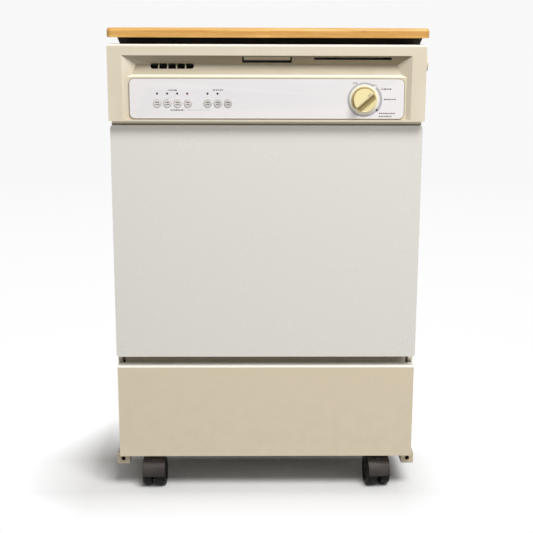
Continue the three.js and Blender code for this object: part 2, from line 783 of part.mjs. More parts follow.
const sumpY = sumpSetback;

function tub() {
  const outer = block(-tubHalf - tubWall, tubHalf + tubWall, cabinetFront + tubWall / 2,
    tubBack + tubWall, tubFloor - tubWall, tubCeiling + tubWall);
  const room = alongY(roundedRect(-tubHalf, tubHalf, tubFloor, tubCeiling, tubCornerRadius),
    cabinetFront + tubWall, tubBack);
  const flange = block(-tubFlangeHalf, tubFlangeHalf, cabinetFront, cabinetFront + tubWall,
    tubFlangeBottom, tubFlangeTop);
  const opening = alongY(roundedRect(-openingHalf, openingHalf, trackTop, openingTop,
    openingCornerRadius, openingFootRadius), cabinetFront - 1, cabinetFront + tubWall + 1);
  const sumpHole = roundBar([0, sumpY, tubFloor - tubWall - 1], [0, sumpY, tubFloor + 1],
    sumpRadius + running, 28);
  const hollow = cut(joined(outer, flange), room, opening, sumpHole);
  const extras = [];
  for (const [side] of sides) {
    extras.push(sideBlock(side, tubHalf - trackWidth, tubHalf + tubWall / 2,
      cabinetFront + tubWall / 2, rackBack, trackTop - trackThickness, trackTop));
    for (const inset of rollerInset) {
      extras.push(roundBar([side * (railInner + railSheet + 1), cabinetFront + inset, rollerZ],
        [side * (tubHalf + tubWall / 2), cabinetFront + inset, rollerZ], rollerRadius, 12));
    }
  }
  extras.push(roundBar([floatX, floatY, tubFloor - tubWall / 2],
    [floatX, floatY, tubFloor + floatHeight - floatWall - 3 * running],
    floatPostRadius, 10));
  return piece('tub', joined(hollow, ...extras), tubPlastic);
}

function tubGasket() {
  const inner = gasketLap;
  const outer = gasketLap + gasketWidth;
  const band = (grow, y0, y1) => alongY(roundedRect(-openingHalf - grow, openingHalf + grow,
    trackTop - grow, openingTop + grow, openingCornerRadius, openingFootRadius), y0, y1);
  const ring = cut(band(outer, doorBack + seat, cabinetFront - seat),
    band(inner, doorBack, cabinetFront));
  return piece('tub_gasket', ring, gasketRubber);
}

function sump() {
  const base = tubFloor - sumpDepth;
  const lip = tubFloor + seat;
  const wall = 5;
  const profile = [[0, base], [sumpRadius - 2, base], [sumpRadius - 2, lip],
    [sumpRadius + sumpFlange, lip], [sumpRadius + sumpFlange, lip + 2.5],
    [sumpRadius - wall, lip + 2.5], [sumpRadius - 2 * wall, base + wall],
    [sumpHubRadius + wall, base + wall], [sumpHubRadius, lip], [sumpHubRadius, lip + sumpHubRise],
    [0, lip + sumpHubRise]];
  return piece('sump', moved(turned(profile, 24), 0, sumpY, 0), greyPlastic);
}

function pumpMotor() {
  const top = tubFloor - sumpDepth - seat;
  const low = top - motorHeight;
  const profile = [[0, low], [motorRadius - 16, low], [motorRadius - 6, low + 8],
    [motorRadius - 6, top - 44], [motorRadius, top - 40], [motorRadius, top - 12],
    [motorRadius - 14, top], [0, top]];
  return piece('pump_motor', moved(turned(profile, 20), 0, sumpY, 0), frameSteel);
}

// A round heating loop with its two ends turned down to the tub floor
function heaterElement() {
  const z = tubFloor + heaterRise;
  const half = THREE.MathUtils.degToRad(heaterGapAngle / 2);
  const points = [];
  const steps = 26;
  for (let i = 0; i <= steps; i++) {
    const angle = Math.PI / 2 + half + (2 * Math.PI - 2 * half) * (i / steps);
    points.push(new THREE.Vector3(heaterRadius * Math.cos(angle),
      sumpY + heaterRadius * Math.sin(angle), z));
  }
  const section = new THREE.Shape().absarc(0, 0, heaterTubeRadius, 0, 2 * Math.PI, false);
  const loop = solidOf(new THREE.ExtrudeGeometry(section, {
    steps: 2 * steps, curveSegments: 3, bevelEnabled: false,
    extrudePath: new THREE.CatmullRomCurve3(points),
  }));
  const legs = [points[0], points[steps]].map((end) => roundBar(
    [end.x, end.y, tubFloor + seat], [end.x, end.y, z + heaterTubeRadius], heaterLegRadius, 12));
  return piece('heater_element', joined(loop, ...legs), brightSteel);
}

// Duct from the sump along the floor and up the back wall to the upper spray arm
function feedTube() {
  const back = tubBack - feedTubeRadius - seat;
  const floor = tubFloor + feedTubeRadius + seat;
  const nozzle = upperArmTop() + feedTubeRadius;
  const start = [0, sumpY + sumpRadius + sumpFlange + seat, floor];
  const tube = joined(
    roundBar(start, [0, back, floor], feedTubeRadius, 10),
    roundBar([0, back, floor - feedTubeRadius], [0, back, nozzle + feedTubeRadius],
      feedTubeRadius, 10),
    roundBar([0, back, nozzle], [0, rackBack + 2, nozzle], feedTubeRadius, 10),
  );
  return piece('feed_tube', tube, greyPlastic);
}

function upperArmTop() {
  return upperFloor - 2 * feedTubeRadius - 2;
}

// Valve on the cross rail, with its solenoid above and its spout towards the middle
const valveInset = 73; // from the cabinet's side
const valveLength = 60;
const valveDepth = 34;
const valveHeight = 30;
const solenoidRadius = 12;
const solenoidRise = 22;
const spoutRadius = 7;
const spoutLength = 20;

function inletValve() {
  const left = -cabinetHalf + valveInset;
  const right = left + valveLength;
  const front = legFront + railDepth + seat;
  const middle = front + valveDepth / 2;
  const low = floorClearance + railRise;
  const spoutZ = low + valveHeight / 2;
  const solenoidX = left + solenoidRadius + 3;
  const valve = joined(
    block(left, right, front, front + valveDepth, low, low + valveHeight),
    roundBar([solenoidX, middle, low + valveHeight - 2],
      [solenoidX, middle, low + valveHeight + solenoidRise], solenoidRadius, 12),
    roundBar([right - 2, middle, spoutZ], [right + spoutLength, middle, spoutZ], spoutRadius, 10),
  );
  return piece('inlet_valve', valve, whitePlastic);
}

// Catch plate on the tub's front flange, reaching into the door
const strikeZ = tubFlangeTop - 6.5;
const strikeHalf = 9;
const strikeThickness = 3;
const strikeReach = 22;

function latchStrike() {
  const foot = block(-strikeHalf - 6, strikeHalf + 6, cabinetFront - seat - 2, cabinetFront - seat,
    strikeZ - 1, strikeZ + strikeThickness + 1);
  const tongue = block(-strikeHalf, strikeHalf, cabinetFront - strikeReach, cabinetFront - 1,
    strikeZ, strikeZ + strikeThickness);
  const eye = block(-strikeHalf + 4, strikeHalf - 4, cabinetFront - strikeReach + 4,
    cabinetFront - strikeReach + 11, strikeZ - 1, strikeZ + strikeThickness + 1);
  return piece('latch_strike', cut(joined(foot, tongue), eye), brightSteel);
}

function floatDome() {
  const low = tubFloor + seat;
  const top = low + floatHeight;
  const inner = floatRadius - floatWall;
  const sleeve = floatPostRadius + 2 * running;
  const profile = [[0, top - floatWall], [sleeve, top - floatWall], [sleeve, low + 6],
    [sleeve + floatWall, low + 6], [sleeve + floatWall, top - floatWall], [inner, top - floatWall - 3],
    [inner, low], [floatRadius, low], [floatRadius, top - 6], [floatRadius - 6, top], [0, top]];
  return piece('float_dome', moved(turned(profile, 16), floatX, floatY, 0), whitePlastic);
}

function doorSpring(side, word) {
  const top = tailZ - armWidth / 2 - seat;
  const x = side * springX;
  const spring = roundBar([x, tailY, floorClearance + seat], [x, tailY, top], springRadius, 10);
  return piece(`door_spring_${word}`, spring, brightSteel);
}

// ---- Racks, rails and spray arms ----------------------------------------------------------------

function rackShell(floor, height) {
  const wide = [-rackHalf, rackHalf];
  const long = [rackFront, rackBack];
  const tall = [floor, floor + height];
  const walls = [
    wireMat(wide, [rackFront, rackFront + rackWire], tall, rackCellsAcross, 0, 1),
    wireMat(wide, [rackBack - rackWire, rackBack], tall, rackCellsAcross, 0, 1),
    wireMat([-rackHalf, -rackHalf + rackWire], long, tall, 0, rackCellsAlong, 1),
    wireMat([rackHalf - rackWire, rackHalf], long, tall, 0, rackCellsAlong, 1),
  ];
  return joined(wireMat(wide, long, [floor, floor + rackWire], rackCellsAcross, rackCellsAlong, 0),
    ...walls);
}

// Upright tines where the floor wires cross
function tines(columns, floor, height) {
  const pitchX = (2 * rackHalf - rackWire) / rackCellsAcross;
  const pitchY = (rackLength - rackWire) / rackCellsAlong;
  const pins = [];
  for (const column of columns) {
    for (let row = 1; row < rackCellsAlong; row++) {
      const x = -rackHalf + rackWire / 2 + column * pitchX;
      const y = rackFront + rackWire / 2 + row * pitchY;
      pins.push(block(x - rackWire / 2, x + rackWire / 2, y - rackWire / 2, y + rackWire / 2,
        floor + rackWire / 2, floor + height));
    }
  }
  return pins;
}

const wheelTrack = rackHalf + running; // inner face of a lower rack wheel
const rackWheelZ = trackTop + rackWheelRadius + rackWheelLift;
const rackWheelPlaces = [
  ['front', rackFront + frontWheelSetback],
  ['rear', rackBack - rearWheelInset],
];

function lowerRack() {
  const solids = [rackShell(lowerFloor, lowerRackHeight), ...tines([1, 2, 3, 4], lowerFloor,
    lowerTineHeight)];
  for (const [side] of sides) {
    for (const [, y] of rackWheelPlaces) {
      solids.push(sideBlock(side, rackHalf - rackWire, rackHalf, y - 8, y + 8,
        rackWheelZ - rackWheelPinRadius - 3, lowerFloor + rackWire));
      solids.push(roundBar([side * (rackHalf - 1), y, rackWheelZ],
        [side * (wheelTrack + rackWheelWidth), y, rackWheelZ], rackWheelPinRadius, 10));
    }
  }
  return piece('lower_rack', joined(...solids), rackCoating);
}

function rackWheel() {
  const half = rackWheelWidth / 2;
  const bore = rackWheelPinRadius + running;
  const profile = [[bore, -half], [rackWheelRadius - 2, -half], [rackWheelRadius, -half + 2],
    [rackWheelRadius, half], [bore, half], [bore, -half]];
  const points = profile.map(([r, a]) => new THREE.Vector2(r, a));
  return solidOf(new THREE.LatheGeometry(points, 18).rotateZ(-Math.PI / 2));
}

function rackWheels() {
  const wheel = rackWheel();
  const group = new THREE.Group();
  for (const [side, word] of sides) {
    for (const [place, y] of rackWheelPlaces) {
      const mesh = piece(`rack_wheel_${place}_${word}`, wheel, greyPlastic);
      mesh.position.set(side * (wheelTrack + rackWheelWidth / 2), y, rackWheelZ);
      mesh.rotation.z = side > 0 ? 0 : Math.PI;
      group.add(mesh);
    }
  }
  return group;
}

function upperRack() {
  const hub = upperArmTop();
  const pipe = hub + feedTubeRadius;
  const solids = [rackShell(upperFloor, upperRackHeight), ...tines([2, 4, 6], upperFloor,
    upperTineHeight)];
  for (const [side] of sides) {
    solids.push(sideBlock(side, rackHalf - 1, railInner - seat, rackFront, rackBack,
      railBottom + railSheet + seat, railBottom + railSheet + 8));
  }
  solids.push(roundBar([0, sumpY, pipe], [0, rackBack + 1.5, pipe], feedTubeRadius - 1, 10));
  solids.push(roundBar([0, sumpY, hub + seat], [0, sumpY, upperFloor + 2], armHubRadius, 12));
  return piece('upper_rack', joined(...solids), rackCoating);
}

// C-shaped slide rail: open towards the tub wall for the rollers, with a lip under the rack's runner
function slideRail(side, word) {
  const top = railBottom + railProfileHeight;
  const outer = railInner + railProfileWidth;
  const web = railInner + railSheet;
  const profile = polygon([
    [railInner - railLip, railBottom], [outer, railBottom], [outer, railBottom + railSheet],
    [web, railBottom + railSheet], [web, top - railSheet], [outer, top - railSheet], [outer, top],
    [railInner, top], [railInner, railBottom + railSheet],
    [railInner - railLip, railBottom + railSheet],
  ].map(([x, z]) => [side * x, z]));
  const rail = alongY(profile, rackFront + railEndInset, rackBack - railEndInset);
  return piece(`slide_rail_${word}`, rail, brightSteel);
}

// A flat arm with rounded ends, a hub and a row of jets along each half
function sprayArm(name, length, width, low) {
  const shape = roundedRect(-length / 2, length / 2, -width / 2, width / 2, width / 2 - 1);
  const hub = roundBar([0, 0, low], [0, 0, low + sprayArmThickness], armHubRadius, 12);
  let arm = joined(alongZ(shape, low, low + sprayArmThickness, 4), hub);
  for (const [side] of sides) {
    for (let i = 1; i <= jetCount; i++) {
      const x = side * (length / 2 - width / 4) * (i / jetCount);
      const y = side * width * 0.22;
      arm = cut(arm, roundBar([x, y, low + sprayArmThickness / 2],
        [x, y, low + sprayArmThickness + 1], jetRadius, 8));
    }
  }
  return piece(name, moved(arm, 0, sumpY, 0), greyPlastic);
}

const lowerArmBottom = tubFloor + 2 * seat + sumpHubRise;

const basketX = rackHalf - basketWidth - 26;
const basketY = rackFront + (rackLength - basketLength) / 2;

function silverwareBasket() {
  const low = lowerFloor + rackWire + seat;
  const top = low + basketHeight;
  const roomLength = (basketLength - basketWall) / basketCompartments;
  const rooms = [];
  for (let i = 0; i < basketCompartments; i++) {
    const start = basketY + basketWall + i * roomLength;
    rooms.push(block(basketX + basketWall, basketX + basketWidth - basketWall, start,
      start + roomLength - basketWall, low + basketWall, top + 1));
  }
  const box = cut(block(basketX, basketX + basketWidth, basketY, basketY + basketLength, low, top),
    ...rooms);
  const middle = basketX + basketWidth / 2;
  const grip = (y) => block(middle - 4, middle + 4, y, y + basketWall, low,
    top + basketHandleRise);
  const bar = block(middle - 4, middle + 4, basketY, basketY + basketLength,
    top + basketHandleRise - 6, top + basketHandleRise);
  const handle = joined(grip(basketY), grip(basketY + basketLength - basketWall), bar);
  return piece('silverware_basket', joined(box, handle), greyPlastic);
}

// ---- Door ---------------------------------------------------------------------------------------

function doorPanel() {
  const outline = (inset) => roundedRect(-doorHalf + inset, doorHalf - inset, doorBottom + inset,
    doorPanelTop - inset, doorCornerRadius);
  const shell = alongY(outline(0), doorFace, doorPanelBack);
  const room = alongY(outline(panelSheet), doorFace + panelSheet, doorPanelBack - panelSheet);
  const mouth = alongY(outline(doorLip), doorPanelBack - panelSheet - 1, doorPanelBack + 1);
  return piece('door_panel', cut(shell, room, mouth), whiteSteel);
}

function doorLiner() {
  const radius = 12;
  const shell = alongY(roundedRect(-linerHalf, linerHalf, linerBottom, linerTop, radius),
    linerFront, doorBack);
  const room = alongY(roundedRect(-linerHalf + linerWall, linerHalf - linerWall,
    linerBottom + linerWall, linerTop - linerWall, radius - linerWall),
  linerFront - 1, doorBack - linerWall);
  const slot = block(-strikeHalf - 4, strikeHalf + 4, doorBack - linerWall - 1, doorBack + 1,
    strikeZ - 3, linerTop - linerWall);
  const bodyHalf = dispenserWidth / 2 - dispenserBodyInset + running;
  const hole = block(-bodyHalf, bodyHalf, doorBack - linerWall - 1, doorBack + 1,
    dispenserBottom + dispenserBodyInset - running,
    dispenserBottom + dispenserHeight - dispenserBodyInset + running);
  return piece('door_liner', cut(shell, room, slot, hole), tubPlastic);
}

const ventPitch = ventSlot + ventRib;
const ventLength = ventCount * ventPitch - ventRib;
const buttonPlaces = [];
for (let i = 0; i < cycleButtonCount; i++) {
  buttonPlaces.push([`cycle_button_${i + 1}`, cycleButtonStart + i * buttonPitch]);
}
for (let i = 0; i < optionButtonCount; i++) {
  buttonPlaces.push([`option_button_${i + 1}`, optionButtonStart + i * buttonPitch]);
}
const lampPlaces = [];
for (let i = 0; i < cycleLampCount; i++) lampPlaces.push(cycleButtonStart + i * lampPitch);
for (let i = 0; i < optionLampCount; i++) lampPlaces.push(optionButtonStart + i * lampPitch);
const buttonZ = insertBottom + buttonRow;
const lampZ = insertBottom + lampRow;
const knobZ = insertBottom + knobRow;

// Straight holes for the lamps, buttons and knob shaft between two depths
function controlHoles(y0, y1) {
  const holes = lampPlaces.map((x) => roundBar([x, y0, lampZ], [x, y1, lampZ],
    lampRadius + running, 8));
  for (const [, x] of buttonPlaces) {
    holes.push(roundBar([x, y0, buttonZ], [x, y1, buttonZ], buttonRadius + running, 16));
  }
  holes.push(roundBar([knobAcross, y0, knobZ], [knobAcross, y1, knobZ],
    knobShaftRadius + 2 * running, 12));
  return holes;
}

const latchPivotY = consoleFront + latchPivotDepth;
const latchPivotZ = latchMiddle + 0.5;
const earSpan = 8; // width of the ears that hold the latch rod
const plugRadius = 14; // round plug on the console's right-hand end
const plugProud = 5.5;
const plugDepth = 30; // plug behind the console front
const plugDrop = 33;

function consoleBody() {
  const back = doorBack - 2 * consoleWall - linerWall;
  const recessTop = consoleTop - frameTop;
  const trough = consoleTop - troughDrop;
  const bed = consoleFront + insertBedDepth;
  const troughY = consoleFront + recessDepth;
  const recessHalf = doorHalf - frameSide;
  const outline = polygon([
    [consoleFront, consoleBottom], [back, consoleBottom], [back, consoleTop],
    ...easedCorner(consoleFront, consoleTop, consoleEdgeRadius),
  ]);
  const skirt = block(-doorHalf + consoleWall, doorHalf - consoleWall, doorFace + consoleWall,
    doorFace + 2 * consoleWall, doorPanelTop + seat, consoleBottom + 1);
  const shell = joined(alongX(outline, -doorHalf, doorHalf), skirt);
  const over = 2; // the recess tool starts in front of the console
  const flarePerDepth = recessFlare / recessDepth;
  const section = alongX(polygon([
    [consoleFront - over, recessTop + over * frameTop / recessDepth],
    [troughY, trough], [bed + 4, consoleTop - ridgeDrop], [bed, consoleTop - insertBedDrop],
    [bed, consoleBottom + frameBottom], [consoleFront - over, consoleBottom + frameBottom],
  ]), -recessHalf - over * 2, recessHalf + over * 2);
  const plan = alongZ(polygon([
    [-recessHalf - over * flarePerDepth, consoleFront - over],
    [recessHalf + over * flarePerDepth, consoleFront - over],
    [recessHalf - recessFlare, troughY], [-recessHalf + recessFlare, troughY],
  ]), consoleBottom, consoleTop);
  const cavity = block(-doorHalf + consoleWall, doorHalf - consoleWall, cavityFront, back + 1,
    consoleBottom + consoleWall, consoleTop - consoleWall);
  const bedCavity = block(-insertHalf, insertHalf, bed + consoleWall, cavityFront + 1,
    insertBottom + consoleWall, consoleTop - insertBedDrop - consoleWall);
  const lipCavity = block(-recessHalf, recessHalf, consoleFront + consoleWall, cavityFront + 1,
    recessTop + consoleWall + 1, consoleTop - consoleWall);
  const latchRoom = block(-latchWidth / 2, latchWidth / 2, consoleFront + 5, cavityFront + 1,
    latchMiddle - latchHeight / 2, latchMiddle + latchHeight / 2 + latchPocketRise);
  const latchMouth = block(-latchWidth / 2, latchWidth / 2, consoleFront - 1, cavityFront + 1,
    latchMiddle - latchHeight / 2, latchMiddle + latchHeight / 2);
  const cardSlot = block(cardSlotLeft, cardSlotLeft + cardSlotLength, consoleFront - 1,
    cavityFront + 1, consoleTop - cardSlotDrop - cardSlotHeight / 2,
    consoleTop - cardSlotDrop + cardSlotHeight / 2);
  let vents = alongY(roundedRect(ventLeft, ventLeft + ventLength, ventMiddle - ventHeight / 2,
    ventMiddle + ventHeight / 2, ventHeight / 2 - 0.1), consoleFront - 1, cavityFront + 1, 6);
  for (let i = 1; i < ventCount; i++) {
    const left = ventLeft + i * ventPitch - ventRib;
    vents = cut(vents, block(left, left + ventRib, consoleFront - 2, cavityFront + 2,
      ventMiddle - ventHeight, ventMiddle + ventHeight));
  }
  const floorEnd = block(-doorHalf + consoleWall, doorHalf - consoleWall, doorPanelBack, back + 1,
    consoleBottom - 1, consoleBottom + consoleWall + 1);
  const body = cut(shell, section.intersect(plan), floorEnd, cavity, bedCavity, lipCavity, latchRoom,
    latchMouth, cardSlot, vents, ...controlHoles(consoleFront, cavityFront + 1));
  const ears = [];
  for (const [side] of sides) {
    const ear = sideBlock(side, latchWidth / 2 + 2, latchWidth / 2 + 2 + earSpan, cavityFront - 1,
      latchPivotY + 6, latchPivotZ - 6, latchPivotZ + 6);
    ears.push(cut(ear, roundBar([side * latchWidth / 2, latchPivotY, latchPivotZ],
      [side * (latchWidth / 2 + 2 + earSpan + 1), latchPivotY, latchPivotZ],
      latchRodRadius + running, 10)));
  }
  const plugAt = [consoleFront + plugDepth, consoleTop - plugDrop];
  const plug = roundBar([doorHalf - consoleWall / 2, ...plugAt],
    [doorHalf + plugProud, ...plugAt], plugRadius, 18);
  return piece('console', joined(body, ...ears, plug), almondPlastic);
}

function controlInsert() {
  const plate = alongY(roundedRect(-insertHalf, insertHalf, insertBottom,
    insertBottom + insertHeight, insertCornerRadius), insertFront, insertBack);
  return piece('control_insert', cut(plate, ...controlHoles(insertFront - 1, insertBack + 1)),
    whitePlastic);
}

// Paddle that fills the latch opening, on a rod behind it
function latchHandle() {
  const half = latchWidth / 2 - latchSideGap;
  const low = latchMiddle - latchHeight / 2 + 2.6;
  const high = latchMiddle + latchHeight / 2 - 0.4;
  const front = consoleFront + 6.5;
  const paddle = alongX(polygon([
    [front, high], [front + 7.5, low], [latchPivotY, low], [latchPivotY, latchPivotZ + 3],
    [front + 18, high],
  ]), -half, half);
  const reach = latchWidth / 2 + 2 + earSpan;
  const rod = roundBar([-reach, latchPivotY, latchPivotZ], [reach, latchPivotY, latchPivotZ],
    latchRodRadius, 10);
  const tail = block(-strikeHalf, strikeHalf, latchPivotY - 3, latchPivotY + 12,
    latchPivotZ - 2.5, latchPivotZ + 2.5);
  return piece('latch_handle', joined(paddle, rod, tail), almondPlastic);
}

function ventDuct() {
  const half = ventHeight / 2 + 2;
  const outer = block(ventLeft - 4, ventLeft + ventLength + 4, cavityFront + seat,
    cavityFront + 22, ventMiddle - half - 2, ventMiddle + half + 2);
  const inner = block(ventLeft - 2, ventLeft + ventLength + 2, cavityFront, cavityFront + 23,
    ventMiddle - half, ventMiddle + half);
  const blade = block(ventLeft - 3, ventLeft + ventLength + 3, cavityFront + 10, cavityFront + 12,
    ventMiddle - half - 1, ventMiddle + 1);
  return piece('vent_duct', joined(cut(outer, inner), blade), blackPlastic);
}

// Skirt, body and a grip with a ridge across the middle: one side slopes gently, the other is sheer
function timerKnob() {
  const low = insertFront - seat;
  const plate = low - knobSkirt - knobPlate;
  const at = (y) => [knobAcross, y, knobZ];
  const skirt = roundBar(at(low), at(low - knobSkirt), knobSkirtRadius, 28);
  const body = roundBar(at(low - knobSkirt + 0.5), at(plate), knobRadius, 28);
  const shaft = roundBar(at(low - 1), at(timerFront + timerDepth / 2), knobShaftRadius, 12);
  const side = knobRadius + 2;
  const away = block(-side, side, knobFront - 1, plate + 1, -side, -knobRidgeHalf);
  const slope = alongX(polygon([
    [knobFront - 1, knobRidgeHalf], [knobFront, knobRidgeHalf],
    [knobFront + knobFaceDrop, knobFaceRadius], [knobFront + knobFaceDrop, side],
    [knobFront - 1, side],
  ]), -side, side);
  const grip = cut(roundBar([0, plate + 1, 0], [0, knobFront, 0], knobFaceRadius, 28), away, slope)
    .rotate([0, -knobRidgeAngle, 0]).translate([knobAcross, 0, knobZ]);
  return piece('timer_knob', joined(body, grip, skirt, shaft), knobPlastic);
}

function timerBody() {
  const half = timerSize / 2;
  const box = block(knobAcross - half, knobAcross + half, timerFront, timerFront + timerDepth,
    knobZ - half, knobZ + half);
  const bore = roundBar([knobAcross, timerFront - 1, knobZ],
    [knobAcross, timerFront + timerDepth / 2 + 2, knobZ], knobShaftRadius + running, 12);
  return piece('timer_body', cut(box, bore), whitePlastic);
}

function pushButton() {
  const cap = roundBar([0, -buttonProud, 0], [0, buttonCapDepth, 0], buttonRadius, 16);
  const stem = roundBar([0, buttonCapDepth - 1, 0], [0, boardFront - insertFront - switchSize / 2
    - switchGap, 0], buttonStemRadius, 10);
  return joined(cap, stem);
}

function pushButtons() {
  const button = pushButton();
  const group = new THREE.Group();
  group.position.set(0, insertFront, buttonZ);
  for (const [name, x] of buttonPlaces) {
    const mesh = piece(name, button, whitePlastic);
    mesh.position.x = x;
    group.add(mesh);
  }
  return group;
}

// Circuit board with the lamps that show through the insert and a switch behind each button
function controlBoard() {
  const left = cycleButtonStart - 16;
  const right = optionButtonStart + optionButtonCount * buttonPitch;
  const solids = [block(left, right, boardFront, boardFront + boardThickness, buttonZ - 16,
    lampZ + 14)];
  for (const x of lampPlaces) {
    solids.push(roundBar([x, insertFront + 0.2, lampZ], [x, boardFront + 1, lampZ], lampRadius, 8));
  }
  for (const [, x] of buttonPlaces) {
    solids.push(block(x - switchSize / 2, x + switchSize / 2, boardFront - switchSize / 2,
      boardFront + 1, buttonZ - switchSize / 2, buttonZ + switchSize / 2));
  }
  for (const x of [left + 4, right - 4]) {
    solids.push(block(x - 3, x + 3, cavityFront + seat, boardFront + 1, buttonZ - 15, buttonZ - 9));
  }
  return piece('control_board', joined(...solids), greyPlastic);
}

const cupBottom = dispenserBottom + cupRise;
const coverFront = doorBack + seat + dispenserPlate + seat;

function dispenser() {
  const half = dispenserWidth / 2;
  const plateBack = doorBack + seat + dispenserPlate;
  const top = dispenserBottom + dispenserHeight;
  const plate = alongY(roundedRect(-half, half, dispenserBottom, top, 10), doorBack + seat,
    plateBack);
  const body = block(-half + dispenserBodyInset, half - dispenserBodyInset,
    doorBack - dispenserDepth, doorBack + seat + 1, dispenserBottom + dispenserBodyInset,
    top - dispenserBodyInset);
  const cup = block(cupLeft, cupLeft + cupWidth, plateBack - cupDepth, plateBack + 1, cupBottom,
    cupBottom + cupHeight);
  const capZ = dispenserBottom + capRise;
  const bore = roundBar([capAcross, plateBack - capPlugLength - 3, capZ],
    [capAcross, plateBack + 1, capZ], capPlugRadius + running, 16);
  return piece('dispenser', cut(joined(plate, body), cup, bore), greyPlastic);
}

function detergentCover() {
  const cover = alongY(roundedRect(cupLeft - coverLap, cupLeft + cupWidth + coverLap,
    cupBottom - coverLap, cupBottom + cupHeight + coverLap, 5), coverFront,
  coverFront + coverThickness);
  const tab = block(cupLeft + cupWidth / 2 - 12, cupLeft + cupWidth / 2 + 12, coverFront,
    coverFront + coverThickness, cupBottom + cupHeight + coverLap - 1,
    cupBottom + cupHeight + coverLap + 6);
  return piece('detergent_cover', joined(cover, tab), greyPlastic);
}

function rinseCap() {
  const z = dispenserBottom + capRise;
  const face = coverFront;
  const disc = roundBar([capAcross, face, z], [capAcross, face + capHeight, z], capRadius, 20);
  const plug = roundBar([capAcross, face - capPlugLength, z], [capAcross, face + 1, z],
    capPlugRadius, 16);
  const groove = (sign) => block(capAcross - capRadius, capAcross + capRadius, face + capHeight / 2,
    face + capHeight + 1, sign > 0 ? z + 4 : z - capRadius, sign > 0 ? z + capRadius : z - 4);
  return piece('rinse_cap', joined(cut(disc, groove(1), groove(-1)), plug), whitePlastic);
}

// Arm along the door's edge with a boss on the pivot and a tail back and down to the spring
function hingeArm(side, word) {
  const x0 = side > 0 ? armInner : -armOuter;
  const x1 = side > 0 ? armOuter : -armInner;
  const half = armWidth / 2;
  const bar = block(x0, x1, pivotY - half, pivotY + half, pivotZ, pivotZ + armLength);
  const boss = roundBar([x0, pivotY, pivotZ], [x1, pivotY, pivotZ], half, 16);
  const end = roundBar([x0, tailY, tailZ], [x1, tailY, tailZ], half, 16);
  const slant = half * Math.SQRT1_2;
  const tail = alongX(polygon([
    [pivotY - slant, pivotZ - slant], [tailY - slant, tailZ - slant],
    [tailY + slant, tailZ + slant], [pivotY + slant, pivotZ + slant],
  ]), x0, x1);
  const hole = roundBar([x0 - 1, pivotY, pivotZ], [x1 + 1, pivotY, pivotZ],
    hingePinRadius + running, 12);
  return piece(`hinge_arm_${word}`, cut(joined(bar, boss, end, tail), hole), brightSteel);
}

// ---- Assembly -----------------------------------------------------------------------------------

cabinet.add(woodTop(), topFrame(), backPanel(), cordGland(), hosePorts(), kickPlate(), baseFrame(),
  castors(), tub(), tubGasket(), sump(), pumpMotor(), heaterElement(), feedTube(), inletValve(),
  latchStrike(), floatDome());
interior.add(lowerRack(), rackWheels(), upperRack(), silverwareBasket(),
  sprayArm('lower_spray_arm', lowerArmLength, lowerArmWidth, lowerArmBottom),
  sprayArm('upper_spray_arm', upperArmLength, upperArmWidth, upperArmTop() - sprayArmThickness));
door.add(doorPanel(), doorLiner(), consoleBody(), controlInsert(), latchHandle(), ventDuct(),
  timerKnob(), timerBody(), pushButtons(), controlBoard(), dispenser(), detergentCover(),
  rinseCap());
for (const [side, word] of sides) {
  cabinet.add(sidePanel(side, word), doorSpring(side, word));
  interior.add(slideRail(side, word));
  door.add(hingeArm(side, word));
}

export default machine;
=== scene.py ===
import json
import math
import random
import bpy
import bmesh
from mathutils import Matrix, Vector

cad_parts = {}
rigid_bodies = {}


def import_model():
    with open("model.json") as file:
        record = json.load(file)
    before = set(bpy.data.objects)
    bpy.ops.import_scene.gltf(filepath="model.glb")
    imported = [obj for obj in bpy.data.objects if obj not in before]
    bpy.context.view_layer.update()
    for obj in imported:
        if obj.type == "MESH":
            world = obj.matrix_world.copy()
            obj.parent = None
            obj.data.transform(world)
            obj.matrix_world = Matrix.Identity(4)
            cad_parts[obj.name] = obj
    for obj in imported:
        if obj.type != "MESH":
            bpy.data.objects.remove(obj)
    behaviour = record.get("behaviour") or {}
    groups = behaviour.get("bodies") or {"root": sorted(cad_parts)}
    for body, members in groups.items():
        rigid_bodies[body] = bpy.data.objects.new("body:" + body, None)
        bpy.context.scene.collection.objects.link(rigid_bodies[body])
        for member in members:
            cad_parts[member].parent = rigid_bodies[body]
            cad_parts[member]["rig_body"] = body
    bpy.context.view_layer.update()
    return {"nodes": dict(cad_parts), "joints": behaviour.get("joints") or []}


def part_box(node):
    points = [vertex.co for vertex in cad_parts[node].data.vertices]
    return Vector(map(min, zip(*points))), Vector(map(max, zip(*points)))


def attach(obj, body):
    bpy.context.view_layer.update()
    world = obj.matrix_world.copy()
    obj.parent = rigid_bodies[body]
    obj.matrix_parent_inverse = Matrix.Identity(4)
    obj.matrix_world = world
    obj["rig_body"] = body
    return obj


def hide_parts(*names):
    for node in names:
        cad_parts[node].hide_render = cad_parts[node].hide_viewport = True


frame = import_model()
mm = 0.001
random.seed(4)
print("frame loaded:", len(frame["nodes"]), "nodes")


